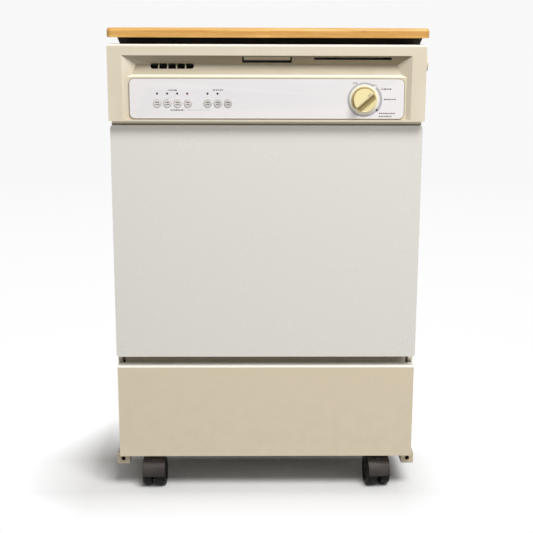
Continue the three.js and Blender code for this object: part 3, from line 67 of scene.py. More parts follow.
class Value:
    # an output socket that can be used in sums; each sum adds a Math node
    def __init__(self, paint, socket):
        self.paint = paint
        self.socket = socket

    def maths(self, operation, first, second=0.0):
        return self.paint.node("ShaderNodeMath", {"operation": operation}, {0: first, 1: second})

    def __add__(self, other):
        return self.maths("ADD", self, other)

    __radd__ = __add__

    def __sub__(self, other):
        return self.maths("SUBTRACT", self, other)

    def __rsub__(self, other):
        return self.maths("SUBTRACT", other, self)

    def __mul__(self, other):
        return self.maths("MULTIPLY", self, other)

    __rmul__ = __mul__

    def __truediv__(self, other):
        return self.maths("DIVIDE", self, other)

    def __rtruediv__(self, other):
        return self.maths("DIVIDE", other, self)

    def __gt__(self, other):
        return self.maths("GREATER_THAN", self, other)

    def __lt__(self, other):  # the reflected form of >
        return self.maths("LESS_THAN", self, other)

    def floor(self):
        return self.maths("FLOOR", self)

    def clamped(self):
        return self.maths("MINIMUM", self.maths("MAXIMUM", self, 0.0), 1.0)


def tone(red, green, blue):
    # a colour given in screen values, 0 to 255, as the linear colour Blender wants
    def linear(value):
        value /= 255
        return value / 12.92 if value <= 0.04045 else ((value + 0.055) / 1.055) ** 2.4
    return (linear(red), linear(green), linear(blue), 1.0)


class Paint:
    # the nodes of one material, or of the world; fixed values are set straight on the shader's sockets
    def __init__(self, name, owner=None, **fixed):
        self.material = owner or bpy.data.materials.new(name)
        self.material.use_nodes = True
        self.tree = self.material.node_tree
        self.shader = self.tree.nodes.get("Principled BSDF")
        for socket, value in fixed.items():
            self.put(socket, value)

    def put(self, socket, value):
        target = self.shader.inputs[socket.replace("_", " ")]
        if isinstance(value, Value):
            self.tree.links.new(value.socket, target)
        else:
            target.default_value = value

    def node(self, kind, settings=None, inputs=None, output=0):
        made = self.tree.nodes.new(kind)
        for key, value in (settings or {}).items():
            if key == "stops":
                ramp = made.color_ramp
                while len(ramp.elements) < len(value):
                    ramp.elements.new(0.5)
                for element, (place, colour) in zip(ramp.elements, value):
                    element.position = place
                    element.color = colour
            else:
                setattr(made, key, value)
        for key, value in (inputs or {}).items():
            if isinstance(value, Value):
                self.tree.links.new(value.socket, made.inputs[key])
            else:
                made.inputs[key].default_value = value
        return Value(self, made.outputs[output])

    def place(self):
        return self.node("ShaderNodeTexCoord", output="Object")

    def axis(self, letter):
        return self.node("ShaderNodeSeparateXYZ", inputs={0: self.place()}, output=letter)

    def stretched(self, x, y, z):
        return self.node("ShaderNodeMapping", inputs={"Vector": self.place(), "Scale": (x, y, z)})

    def noise(self, scale, detail, roughness=0.5, where=None, distortion=0.0):
        return self.node("ShaderNodeTexNoise", inputs={
            "Vector": where or self.place(), "Scale": scale, "Detail": detail,
            "Roughness": roughness, "Distortion": distortion})

    def grain(self, share, low, high):
        # share between low and high brought to 0..1
        return self.node("ShaderNodeMapRange", inputs={0: share, 1: low, 2: high})

    def mix(self, share, first, second):
        return self.node("ShaderNodeMix", {"data_type": "RGBA"}, {0: share, 6: first, 7: second}, output=2)

    def bump(self, height, strength, distance):
        self.put("Normal", self.node("ShaderNodeBump", inputs={
            "Height": height, "Strength": strength, "Distance": distance}))

    def edgeWearAndHighlight(self):
        # 1 on the outer edges of a piece, 0 on its flats
        edge = self.node("ShaderNodeNewGeometry", output="Pointiness")
        return self.grain(edge, 0.52, 0.60)


def mouldedPlastic(name, colour, shade, roughness, texture=0.12):
    # satin plastic: faint cloudy tone, fine moulded texture, smudges in the gloss
    scales = {"cloud": 9.0, "speck": 340.0, "smudge": 22.0, "coarse": 490.0, "fine": 1400.0}
    paint = Paint(name, IOR=1.46)
    if callable(colour):
        colour = shade = colour(paint)
    cloud = paint.grain(paint.noise(scales["cloud"], 4.0), 0.35, 0.68)
    speck = paint.grain(paint.noise(scales["speck"], 2.0), 0.42, 0.62)
    base = paint.mix(cloud * 0.5 + speck * 0.18, colour, shade)
    # outer edges lightened towards near white: partly wear, partly painted highlight
    paint.put("Base Color", paint.mix(paint.edgeWearAndHighlight() * 0.18, base, tone(250, 247, 238)))
    smudge = paint.grain(paint.noise(scales["smudge"], 5.0, 0.62), 0.3, 0.72)
    paint.put("Roughness", smudge * 0.12 + (roughness - 0.06))
    skin = paint.noise(scales["fine"], 2.0) + paint.noise(scales["coarse"], 2.0) * 0.6
    paint.bump(skin, texture, 0.00008)
    return paint.material


def recessShadeTone(paint):
    # painted shade: light at the foot of the recess, dark under its ceiling
    heights = {"foot": 0.850, "ceiling": 0.881}
    rise = paint.grain(paint.axis("Z"), heights["foot"], heights["ceiling"])
    return paint.node("ShaderNodeValToRGB", {"stops": [
        (0.0, tone(188, 175, 152)), (0.35, tone(170, 157, 133)), (0.55, tone(154, 141, 117)),
        (1.0, tone(130, 117, 93))]}, {0: rise})


def enamel(name, colour, shade, roughness, dust):
    # baked enamel on steel: orange peel, faint sheen changes, dust settling low down
    look = {"peel": 0.08, "cleanAbove": 0.34, "dustyBelow": 0.05}
    paint = Paint(name, IOR=1.5, Coat_Roughness=0.12)
    cloud = paint.grain(paint.noise(2.2, 2.0, 0.4), 0.25, 0.75)
    fine = paint.grain(paint.noise(240.0, 2.0), 0.4, 0.66)
    base = paint.mix(cloud * 0.1 + fine * 0.1, colour, shade)
    low = paint.grain(paint.axis("Z"), look["cleanAbove"], look["dustyBelow"])
    low = low * paint.grain(paint.noise(30.0, 6.0, 0.7), 0.4, 0.75)
    dusty = paint.mix(low * dust, base, tone(150, 136, 112))
    # outer edges lightened towards near white: partly wear, partly painted highlight
    paint.put("Base Color", paint.mix(paint.edgeWearAndHighlight() * 0.16, dusty, tone(250, 246, 236)))
    paint.put("Roughness", paint.noise(16.0, 3.0) * 0.12 + (roughness - 0.06) + low * 0.2)
    paint.put("Coat Weight", cloud * 0.04 + 0.14)
    paint.bump(paint.noise(150.0, 1.0, 0.4), look["peel"], 0.00004)
    return paint.material


def mapleStrips():
    # butcher block: glued strips along the front edge, each with its own tone, grain and pores
    strip = {"width": 0.041, "length": 0.37, "stagger": 0.377, "rowGlue": 0.2352, "boardGlue": 0.2488,
             "highlightFoot": (0.9165, 0.9185), "highlightTop": (0.9272, 0.9252)}
    paint = Paint("mapleStrips", IOR=1.48, Coat_Roughness=0.2)
    across = paint.axis("Y") / strip["width"]
    row = across.floor()
    along = paint.axis("X") / strip["length"] + row * strip["stagger"]
    board = along.floor()
    own = paint.node("ShaderNodeTexWhiteNoise", {"noise_dimensions": "2D"}, {
        "Vector": paint.node("ShaderNodeCombineXYZ", inputs={0: board, 1: row})})
    drift = paint.node("ShaderNodeCombineXYZ", inputs={
        0: paint.axis("X") * 5.0 + own * 31.0, 1: paint.axis("Y") * 62.0,
        2: paint.axis("Z") * 78.0 + own * 17.0})
    figure = paint.noise(1.0, 5.0, 0.6, where=drift, distortion=1.1)
    fibre = paint.noise(1.0, 3.0, 0.6, where=paint.stretched(26.0, 900.0, 900.0))
    pore = paint.grain(paint.noise(1.0, 2.0, 0.5, where=paint.stretched(55.0, 1500.0, 1500.0)), 0.66, 0.74)
    light = paint.mix(own, tone(238, 190, 108), tone(226, 174, 90))
    deep = paint.mix(own, tone(206, 150, 68), tone(196, 140, 58))
    body = paint.mix(paint.grain(figure, 0.36, 0.66), light, deep)
    body = paint.mix(paint.grain(fibre, 0.4, 0.7) * 0.3, body, tone(248, 210, 134))
    body = paint.mix(pore * 0.35, body, tone(120, 74, 34))
    # glue lines between rows and between boards, and a few dark flecks
    offRow, offBoard = across - row - 0.5, along - board - 0.5
    lineRow = offRow * offRow > strip["rowGlue"]
    lineBoard = offBoard * offBoard > strip["boardGlue"]
    body = paint.mix((lineRow * 0.45 + lineBoard * 0.22).clamped(), body, tone(136, 88, 42))
    # painted shade darkens the flat face of the front edge, so that its rounded top and its foot stay
    # light as painted highlights
    height = paint.axis("Z")
    face = paint.grain(height, *strip["highlightFoot"]) * paint.grain(height, *strip["highlightTop"])
    body = paint.mix(face * 0.42, body, tone(178, 120, 48))
    fleck = paint.grain(paint.node("ShaderNodeTexVoronoi", {"feature": "F1"}, {
        "Vector": paint.stretched(9.0, 24.0, 60.0), "Scale": 1.0}), 0.075, 0.03)
    body = paint.mix(fleck * 0.55, body, tone(104, 62, 30))
    paint.put("Base Color", body)
    paint.put("Roughness", paint.grain(figure, 0.3, 0.7) * 0.12 + 0.4)
    paint.put("Coat Weight", own * 0.1 + 0.12)
    paint.bump(fibre * 0.6 - pore * 0.5 - lineRow * 0.6, 0.25, 0.0003)
    return paint.material


def rubberMaterial():
    paint = Paint("gasketRubber", IOR=1.45)
    patch = paint.grain(paint.noise(35.0, 5.0), 0.35, 0.7)
    paint.put("Base Color", paint.mix(patch, tone(40, 39, 37), tone(66, 64, 60)))
    paint.put("Roughness", patch * 0.15 + 0.68)
    paint.bump(paint.noise(900.0, 2.0), 0.25, 0.0002)
    return paint.material


def brightMetal(name, colour, roughness, along):
    # drawn or plated steel, with its fine lines along one direction
    paint = Paint(name, Metallic=1.0, IOR=2.2)
    lines = paint.noise(1.0, 3.0, 0.6, where=paint.stretched(*along))
    stain = paint.grain(paint.noise(28.0, 5.0, 0.65), 0.4, 0.75)
    paint.put("Base Color", paint.mix(stain * 0.4, colour, tone(128, 122, 112)))
    paint.put("Roughness", lines * 0.16 + stain * 0.12 + (roughness - 0.1))
    paint.bump(lines, 0.12, 0.0001)
    return paint.material


def springSteel():
    # a close-wound coil: bright turns with painted shade in the gap between each two
    look = {"turnsPerMetre": 420.0, "lean": 25.0, "gap": 0.62}
    paint = Paint("springSteel", Metallic=1.0, IOR=2.2)
    turns = paint.axis("Z") * look["turnsPerMetre"] + paint.axis("X") * look["lean"]
    share = turns - turns.floor() - 0.5
    gapShade = paint.grain(share * share * 4, look["gap"], 1.0)
    stain = paint.grain(paint.noise(90.0, 4.0, 0.6), 0.4, 0.75)
    turn = paint.mix(stain * 0.4, tone(176, 178, 180), tone(124, 118, 108))
    # painted shade in the gaps between the turns
    paint.put("Base Color", paint.mix(gapShade, turn, tone(24, 22, 20)))
    paint.put("Roughness", stain * 0.15 + 0.3)
    paint.bump(1 - gapShade, 0.9, 0.0008)
    return paint.material


def castorPlastic(name, colour, shade):
    # hard dark plastic, scuffed, with painted shade darkening it towards the floor
    paint = Paint(name, IOR=1.46, Specular_IOR_Level=0.18)
    scuff = paint.grain(paint.noise(1.0, 5.0, 0.7, where=paint.stretched(60.0, 120.0, 240.0)), 0.5, 0.72)
    # painted shade: the lower part darkens towards the floor
    low = paint.grain(paint.axis("Z"), 0.07, 0.02)
    base = paint.mix(paint.grain(paint.noise(40.0, 4.0), 0.35, 0.7), colour, shade)
    base = paint.mix(scuff * 0.3 + paint.edgeWearAndHighlight() * 0.25, base, tone(92, 85, 80))
    paint.put("Base Color", paint.mix(low * 0.85, base, tone(9, 8, 7)))
    paint.put("Roughness", scuff * 0.2 + 0.45)
    paint.bump(paint.noise(700.0, 2.0) + scuff * 0.5, 0.2, 0.0002)
    return paint.material


def flatInk(name, colour, roughness, fade):
    # screen-printed marks, slightly uneven
    paint = Paint(name, IOR=1.45)
    patch = paint.grain(paint.noise(600.0, 2.0), 0.35, 0.7)
    paint.put("Base Color", paint.mix(patch * fade, colour, tone(205, 203, 204)))
    paint.put("Roughness", patch * 0.1 + roughness)
    return paint.material


# colour, the colour of its clouds, roughness, depth of the moulded texture where it isn't the usual one
plastics = {
    "almondPlastic": ((221, 210, 188), (214, 202, 179), 0.42),
    # the console's almond lightened as painted highlight for the lip under the recess
    "ridgePlastic": ((241, 235, 214), (237, 229, 206), 0.42),
    # the console's almond darkened as painted shade for the recessed latch paddle
    "paddlePlastic": ((160, 147, 121), (150, 137, 112), 0.5),
    # near-white painted highlight for top edges
    "paleEdge": ((253, 250, 241), (249, 245, 234), 0.4),
    "edgeShade": ((104, 94, 74), (94, 84, 66), 0.6),
    "whitePlastic": ((232, 228, 229), (226, 221, 223), 0.4, 0.08),
    "insertPlastic": ((230, 227, 228), (226, 222, 224), 0.46, 0.06),
    "keyPlastic": ((217, 212, 207), (210, 205, 201), 0.45, 0.06),
    "greyKeyPlastic": ((204, 200, 195), (195, 191, 187), 0.45, 0.06),
    "creamPlastic": ((236, 222, 170), (222, 203, 140), 0.34, 0.05),
    # painted shade for the steep side of the knob's grip
    "goldPlastic": ((150, 126, 70), (132, 108, 56), 0.36, 0.05),
    "paleGold": ((190, 168, 108), (178, 154, 92), 0.36, 0.05),
    "skirtPlastic": ((240, 234, 218), (233, 226, 208), 0.36, 0.05),
    "blackPlastic": ((26, 23, 19), (38, 34, 28), 0.5),
    "tubPlastic": ((226, 225, 219), (216, 214, 207), 0.34, 0.05),
    "rackCoating": ((206, 213, 220), (190, 198, 207), 0.32, 0.05),
    "greyPlastic": ((143, 149, 152), (128, 134, 138), 0.45),
    # painted shadow colour for the groove around the control insert
    "grooveBrown": ((140, 122, 88), (124, 106, 74), 0.6),
    # near-black for the black plastic parts, and painted shade inside the console's openings
    "voidBlack": ((6, 5, 4), (11, 9, 7), 0.85),
}
# colour, the colour of its clouds, roughness, dust
enamels = {
    "almondSteel": ((216, 201, 174), (210, 194, 167), 0.34, 0.15),
    "whiteSteel": ((217, 214, 207), (211, 207, 199), 0.26, 0.0),
    # paler than the cabinet: painted light for the shaded front skirt
    "framePaint": ((248, 238, 214), (242, 230, 204), 0.38, 0.4),
    "channelPaint": ((200, 183, 152), (186, 168, 136), 0.4, 0.8),
    "darkFrame": ((58, 54, 46), (44, 41, 36), 0.5, 0.3),
    "zincPlate": ((186, 182, 170), (166, 161, 148), 0.36, 0.0),
}
# colour and the colour of its clouds
castors = {
    "castorPlastic": ((15, 13, 12), (24, 21, 19)),
    "hoodPlastic": ((80, 74, 71), (98, 91, 87)),
}
# colour, roughness, how far the print has faded
inks = {
    "paleInk": ((176, 175, 178), 0.5, 0.25),
    "darkInk": ((104, 99, 98), 0.5, 0.12),
    "lampLens": ((48, 30, 26), 0.25, 0.05),
    "redLens": ((118, 58, 50), 0.25, 0.05),
}
finishes = {
    "wood": mapleStrips(),
    # the recess finish is painted shade, darker up towards the recess ceiling
    "recessPaintedShade": mouldedPlastic("recessPaintedShade", recessShadeTone, None, 0.5),
    "gasketRubber": rubberMaterial(),
    "brightSteel": brightMetal("brightSteel", tone(190, 192, 194), 0.32, (30.0, 700.0, 700.0)),
    "heaterSteel": brightMetal("heaterSteel", tone(120, 112, 104), 0.42, (300.0, 300.0, 300.0)),
    "springSteel": springSteel(),
}
makers = {mouldedPlastic: plastics, enamel: enamels, castorPlastic: castors, flatInk: inks}
for make, table in makers.items():
    for name, values in table.items():
        values = [tone(*value) if isinstance(value, tuple) else value for value in values]
        finishes[name] = make(name, *values)
# finish and material slot of the pieces that are dressed alike
grey, white = ("greyPlastic", "grey_plastic"), ("whitePlastic", "white_plastic")
steel, coated = ("brightSteel", "bright_steel"), ("rackCoating", "rack_coating")
almond, printed = ("almondSteel", "almond_steel"), ("darkInk", "white_plastic")
sides = ("left", "right")
corners = [f"{place}_{side}" for place in ("front", "rear") for side in sides]
print("materials made:", len(finishes))


def placed(name, data):
    piece = bpy.data.objects.new(name, data)
    bpy.context.scene.collection.objects.link(piece)
    return piece


def show(name, shape, body, finish, slotName, replaced=(), smoothAngle=32):
    # a bmesh or a curve as a piece that rides on a body
    if isinstance(shape, bmesh.types.BMesh):
        shape = meshOf(name + "Mesh", shape)
        for face in shape.polygons:
            face.use_smooth = True
        shape.set_sharp_from_angle(angle=math.radians(smoothAngle))
    piece = placed(name, shape)
    for one in ([finish] if isinstance(finish, str) else finish):
        shape.materials.append(finishes[one])
    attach(piece, body)
    if replaced:
        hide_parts(*replaced)
    return piece


def meshOf(name, bm):
    bmesh.ops.recalc_face_normals(bm, faces=bm.faces)
    mesh = bpy.data.meshes.new(name)
    bm.to_mesh(mesh)
    bm.free()
    return mesh


def cleanCopy(node):
    # the CAD piece's mesh, its triangles merged into flat faces
    bm = bmesh.new()
    bm.from_mesh(frame["nodes"][node].data)
    bmesh.ops.remove_doubles(bm, verts=bm.verts, dist=1e-6)
    bmesh.ops.dissolve_limit(bm, angle_limit=math.radians(0.6), verts=bm.verts, edges=bm.edges)
    return bm


def roundOver(bm, edges, width, segments):
    bmesh.ops.bevel(bm, geom=edges, offset=width, offset_type="OFFSET", segments=segments,
                    profile=0.5, affect="EDGES", clamp_overlap=True)


def bevelEdges(bm, width, segments, angle=25, shortest=3.0):
    # rounds each edge that is long enough, turns by more than the angle and has room on both sides
    edges = []
    for edge in bm.edges:
        if len(edge.link_faces) != 2 or edge.calc_length() < shortest * mm:
            continue
        if edge.calc_face_angle(0.0) < math.radians(angle):
            continue
        narrowest = min(2 * face.calc_area() / face.calc_perimeter() for face in edge.link_faces)
        if narrowest > 1.6 * (width * mm):
            edges.append(edge)
    roundOver(bm, edges, width * mm, segments)


def flatNormals(piece):
    # the broad faces stay flat beside their rounded edges
    piece.modifiers.new("flatNormals", "WEIGHTED_NORMAL").keep_sharp = True
    return piece


def shell(name, node, bm, finish, slotName):
    # takes the place of a CAD piece, on the same body
    body = frame["nodes"][node]["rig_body"]
    return flatNormals(show(name, bm, body, finish, slotName, [node]))


def softened(node, finish, slotName, width, segments=3, shortest=3.0):
    # the CAD piece again, with its outer edges rounded over
    bm = cleanCopy(node)
    bevelEdges(bm, width, segments, shortest=shortest)
    return shell(node + "_shell", node, bm, finish, slotName)


def cutAt(bm, level):
    # new edges all around at a height in millimetres
    bmesh.ops.bisect_plane(bm, geom=bm.verts[:] + bm.edges[:] + bm.faces[:], dist=1e-6,
                           plane_co=(0, 0, level * mm), plane_no=(0, 0, 1))


def banded(piece, level, above, finish):
    # gives the faces beyond a height that look forward, or upward above it, another finish
    bm = bmesh.new()
    bm.from_mesh(piece.data)
    cutAt(bm, level)
    for face in bm.faces:
        beyond = (face.calc_center_median().z > level * mm) == above
        if beyond and (face.normal.y < -0.1 or above and face.normal.z > 0.5):
            face.material_index = len(piece.data.materials)
    bm.to_mesh(piece.data)
    bm.free()
    piece.data.materials.append(finishes[finish])


def turned(profile, segments, axis="Z", at=(0, 0, 0)):
    # a turned mesh: (radius, height) points in millimetres about an axis through a point in metres
    bm = bmesh.new()
    rings = []
    for radius, height in profile:
        ring = []
        for i in range(segments if radius > 1e-6 else 1):
            a = 2 * math.pi * i / segments
            ring.append(bm.verts.new((radius * mm * math.cos(a), radius * mm * math.sin(a), height * mm)))
        rings.append(ring)
    for low, high in zip(rings, rings[1:]):
        for i in range(segments):
            j = (i + 1) % segments
            quad = [low[i % len(low)], low[j % len(low)], high[j % len(high)], high[i % len(high)]]
            unique = list(dict.fromkeys(quad))
            if len(unique) > 2:
                bm.faces.new(unique)
    turn = {"Z": Matrix.Identity(4), "X": Matrix.Rotation(math.pi / 2, 4, "Y"),
            "Y": Matrix.Rotation(math.pi / 2, 4, "X")}[axis]
    bm.transform(Matrix.Translation(Vector(at)) @ turn)
    return bm


def stitched(rows, finishAt=lambda k: 0):
    # quads between rows of as many points each, and a face over either end
    bm = bmesh.new()
    rows = [[bm.verts.new(point) for point in row] for row in rows]
    count = len(rows[0])
    for low, high in zip(rows, rows[1:]):
        for k in range(count):
            j = (k + 1) % count
            bm.faces.new([low[k], low[j], high[j], high[k]]).material_index = finishAt(k)
    bm.faces.new(rows[0])
    bm.faces.new(rows[-1])
    return bm


def joined(parts):
    # several bmeshes as one
    whole = bmesh.new()
    for part in parts:
        scratch = bpy.data.meshes.new("scratch")
        part.to_mesh(scratch)
        part.free()
        whole.from_mesh(scratch)
        bpy.data.meshes.remove(scratch)
    return whole


def slab(low, high, radius=0.0):
    # a box in metres, its edges rounded if a radius is given
    bm = bmesh.new()
    bmesh.ops.create_cube(bm, size=1.0)
    size = [b - a for a, b in zip(low, high)]
    centre = [(a + b) / 2 for a, b in zip(low, high)]
    bm.transform(Matrix.Translation(centre) @ Matrix.Diagonal((*size, 1.0)))
    if radius:
        roundOver(bm, list(bm.edges), radius, 4)
    return bm


def wires(name, runs, radius, body, finish, slotName, replaced=(), resolution=3):
    # round wires through points in millimetres; a run ending in True is closed
    curve = bpy.data.curves.new(name, "CURVE")
    curve.dimensions = "3D"
    curve.bevel_depth = radius * mm
    curve.bevel_resolution = resolution
    curve.use_fill_caps = True
    for run in runs:
        closed = run[-1] is True
        points = run[:-1] if closed else run
        spline = curve.splines.new("POLY")
        spline.points.add(len(points) - 1)
        for knot, point in zip(spline.points, points):
            knot.co = (*[value * mm for value in point], 1.0)
        spline.use_cyclic_u = closed
    show(name, curve, body, finish, slotName, replaced)


def rounded(points, radius, steps):
    # an open run of points with its inner corners rounded
    out = [points[0]]
    for before, corner, after in zip(points, points[1:], points[2:]):
        middle = Vector(corner)
        start = middle + (Vector(before) - middle).normalized() * radius
        end = middle + (Vector(after) - middle).normalized() * radius
        for i in range(steps + 1):
            share = i / steps
            out.append(tuple(start.lerp(middle, share).lerp(middle.lerp(end, share), share)))
    out.append(points[-1])
    return out


def cornerArcs(low, high, corner, reach, steps):
    # a rectangle's outline: an arc of the given reach about the centre of each rounded corner
    outline = []
    for x, y, start in ((high[0] - corner, high[1] - corner, 0), (low[0] + corner, high[1] - corner, 90),
                        (low[0] + corner, low[1] + corner, 180), (high[0] - corner, low[1] + corner, 270)):
        for i in range(steps + 1):
            a = math.radians(start + 90 / steps * i)
            outline.append((x + reach * math.cos(a), y + reach * math.sin(a)))
    return outline


cameraPlace = {"x": -0.0285, "y": -2.345, "z": 0.9341, "pitch": 12.68, "yaw": 0.81,
               "roll": 0.187, "lens": 71.9}


def makeCamera(place):
    pitch, yaw, roll = (math.radians(place[key]) for key in ("pitch", "yaw", "roll"))
    forward = Vector((math.sin(yaw) * math.cos(pitch), math.cos(yaw) * math.cos(pitch), -math.sin(pitch)))
    right = Vector((math.cos(yaw), -math.sin(yaw), 0))
    up = right.cross(forward)
    tiltedRight = math.cos(roll) * right + math.sin(roll) * up
    tiltedUp = -math.sin(roll) * right + math.cos(roll) * up
    turn = Matrix((tiltedRight, tiltedUp, -forward)).transposed().to_4x4()
    lens = bpy.data.cameras.new("camera")
    lens.lens = place["lens"]
    lens.sensor_width = 36.0
    lens.clip_start = 0.05
    camera = placed("camera", lens)
    camera.matrix_world = Matrix.Translation((place["x"], place["y"], place["z"])) @ turn
    bpy.context.scene.camera = camera


studio = {
    "floorSize": 16.0, "floorTone": 0.93, "litReach": (0.55, 0.85), "paleReach": (0.8, 4.5),
    "behind": (-0.14, 0.12), "right": (0.27, 0.37), "left": (-0.36, -0.5), "before": (-0.31, -0.43),
    "nearWhite": 1.0, "farWhite": 0.94, "returned": 0.7, "fill": 0.36,
    # name, place, aim, width, height, power
    "lamps": [
        ("key", (0.85, -2.25, 3.3), (0, -0.3, 0.45), 1.8, 1.2, 108.0),
        ("front", (0.9, -3.6, 1.9), (0, -0.3, 0.6), 2.2, 1.8, 6.0),
    ],
}


def greyColour(value):
    return (value, value, value, 1.0)


def makeFloor(setup):
    # lit and shadowed near the machine, passing into the plain white of the backdrop further off
    size = setup["floorSize"]
    bm = bmesh.new()
    bmesh.ops.create_grid(bm, x_segments=2, y_segments=2, size=size / 2)
    floor = placed("floor", meshOf("floorMesh", bm))
    paint = Paint("studioFloor")
    paint.tree.nodes.remove(paint.shader)
    away = paint.node("ShaderNodeVectorMath", {"operation": "LENGTH"}, {0: paint.place()}, output=1)
    lit = paint.node("ShaderNodeBsdfDiffuse", inputs={"Color": greyColour(setup["floorTone"])})
    pale = paint.mix(paint.grain(away, *setup["paleReach"]), greyColour(setup["nearWhite"]),
                     greyColour(setup["farWhite"]))
    glow = paint.node("ShaderNodeEmission", inputs={"Color": pale})
    # shadows are kept under the machine and close around it, furthest in front and to the left
    far = paint.grain(away, *setup["litReach"])
    for letter, side in (("Y", "behind"), ("Y", "before"), ("X", "left"), ("X", "right")):
        far = far + paint.grain(paint.axis(letter), *setup[side])
    far = far.clamped()
    seen = paint.node("ShaderNodeMixShader", inputs={0: far, 1: lit, 2: glow})
    # the floor as the machine sees it: what it throws back as light
    plain = paint.node("ShaderNodeBsdfDiffuse", inputs={"Color": greyColour(setup["returned"])})
    mixed = paint.node("ShaderNodeMixShader", inputs={0: directRays(paint), 1: plain, 2: seen})
    paint.tree.links.new(mixed.socket, paint.tree.nodes["Material Output"].inputs["Surface"])
    floor.data.materials.append(paint.material)


def directRays(paint):
    # 1 for what the camera sees itself, in gloss or through glass
    camera, gloss, glass = (paint.node("ShaderNodeLightPath", output=f"Is {kind} Ray")
                            for kind in ("Camera", "Glossy", "Transmission"))
    return (camera + gloss + glass).clamped()


def makeWorld(setup):
    world = bpy.data.worlds.new("studioWorld")
    bpy.context.scene.world = world
    paint = Paint("studioWorld", world)
    paint.tree.nodes.clear()
    fill = paint.node("ShaderNodeBackground", inputs={"Strength": setup["fill"]})
    back = paint.node("ShaderNodeBackground", inputs={"Color": greyColour(setup["farWhite"])})
    mixed = paint.node("ShaderNodeMixShader", inputs={0: directRays(paint), 1: fill, 2: back})
    out = paint.tree.nodes.new("ShaderNodeOutputWorld")
    paint.tree.links.new(mixed.socket, out.inputs["Surface"])


def makeLamps(setup):
    for name, place, aim, width, height, power in setup["lamps"]:
        light = bpy.data.lights.new(name, "AREA")
        light.shape = "RECTANGLE"
        light.size, light.size_y, light.energy = width, height, power
        lamp = placed(name, light)
        lamp.location = place
        lamp.rotation_euler = (Vector(aim) - Vector(place)).to_track_quat("-Z", "Y").to_euler()


bpy.context.scene.view_settings.view_transform = "Standard"
makeCamera(cameraPlace)
makeFloor(studio)
makeWorld(studio)
makeLamps(studio)
print("camera, floor and lights in place")


blockTop = {"cornerRadius": 10 * mm, "topEdge": 6 * mm, "footEdge": 2 * mm, "edgeSteps": 6}


def buildBlockTop(look):
    # rounded corners in plan, a broad rounding along the top edge and a small one below
    low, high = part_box("wood_top")
    bm = slab(low, high)
    upright = [e for e in bm.edges if abs((e.verts[0].co - e.verts[1].co).z) > (high.z - low.z) * 0.9]
    roundOver(bm, upright, look["cornerRadius"], look["edgeSteps"] * 2)
    for level, radius in ((high.z, look["topEdge"]), (low.z, look["footEdge"])):
        rim = [e for e in bm.edges if all(abs(v.co.z - level) < 1e-5 for v in e.verts)
               and any(abs(f.normal.z) < 0.5 for f in e.link_faces)]
        roundOver(bm, rim, radius, look["edgeSteps"])
    flatNormals(show("butcher_block", bm, "chassis", "wood", "wood", ["wood_top"], 50))


# heights and places in millimetres where a piece's paint changes
cabinetLook = {"highlightFrom": 266.0, "channelTop": 76.5, "channelInner": 279.0, "skirtFoot": 247.0,
               "skirtBack": -200.0}


def buildCabinet(look):
    for word in sides:
        softened("side_panel_" + word, *almond, 1.2)
    softened("back_panel", *almond, 0.6)
    softened("top_frame", "voidBlack", "black_plastic", 0.8)
    softened("cord_gland", "blackPlastic", "black_plastic", 0.6)
    softened("hose_ports", *grey, 0.8)
    kickPlate = softened("kick_plate", *almond, 1.6, 4)
    # painted highlight along the kick plate's top edge
    banded(kickPlate, look["highlightFrom"], True, "paleEdge")
    frameShell = softened("base_frame", "framePaint", "frame_steel", 1.0)
    for finish in ("darkFrame", "channelPaint"):
        frameShell.data.materials.append(finishes[finish])
    # the channels are painted like the cabinet; the front skirt is paler than the cabinet, lightened as
    # painted light in the shaded gap above the kick plate; the rails and legs are dark
    for face in frameShell.data.polygons:
        x, y, z = face.center / mm
        channel = z < look["channelTop"] and abs(x) > look["channelInner"]
        skirt = z > look["skirtFoot"] and y < look["skirtBack"]
        face.material_index = 2 if channel else 0 if skirt else 1


screwLook = {"radius": 4.2, "rise": 1.6, "levels": (110.0, 330.0, 570.0, 870.0), "across": 290.0}


def buildScrews(look):
    # domed heads that face the back
    r, rise = look["radius"], look["rise"]
    profile = [(0, rise), (r * 0.55, rise * 0.86), (r * 0.85, rise * 0.5), (r, 0), (0, 0)]
    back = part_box("back_panel")[1].y
    heads = []
    for z in look["levels"]:
        for side in (-1, 1):
            head = turned(profile, 20, "Y")
            place = Matrix.Translation((side * look["across"] * mm, back, z * mm))
            head.transform(place @ Matrix.Rotation(math.pi, 4, "X"))
            heads.append(head)
    show("panel_screws", joined(heads), "chassis", *steel)


buildBlockTop(blockTop)
buildCabinet(cabinetLook)
buildScrews(screwLook)
print("cabinet dressed")


castorLook = {"wheelRadius": 30.0, "outerHalf": 24.4, "innerHalf": 5.3, "axleRadius": 4.0,
              "hubRadius": 11.5, "hubSink": 2.2, "treadRounding": 6.0}


def castorProfile(look):
    # (radius, place along the axle) of two wheels on one axle, from one outer face to the other
    r, half, inner, ease = look["wheelRadius"], look["outerHalf"], look["innerHalf"], look["treadRounding"]
    hub, sunk = look["hubRadius"], half - look["hubSink"]
    side = [(0, half - 0.4), (hub - 4, half - 0.4), (hub - 2.5, half - 1.0), (hub, sunk),
            (r - ease - 4, sunk), (r - ease - 2.5, half - 0.3)]
    for i in range(7):
        a = math.radians(15 * i)
        side.append((r - ease + ease * math.sin(a), half - ease + ease * math.cos(a)))
    side += [(r, inner + 2.4), (r - 0.8, inner + 0.8), (r - 2.4, inner), (look["axleRadius"], inner)]
    return side + [(radius, -place) for radius, place in reversed(side)]


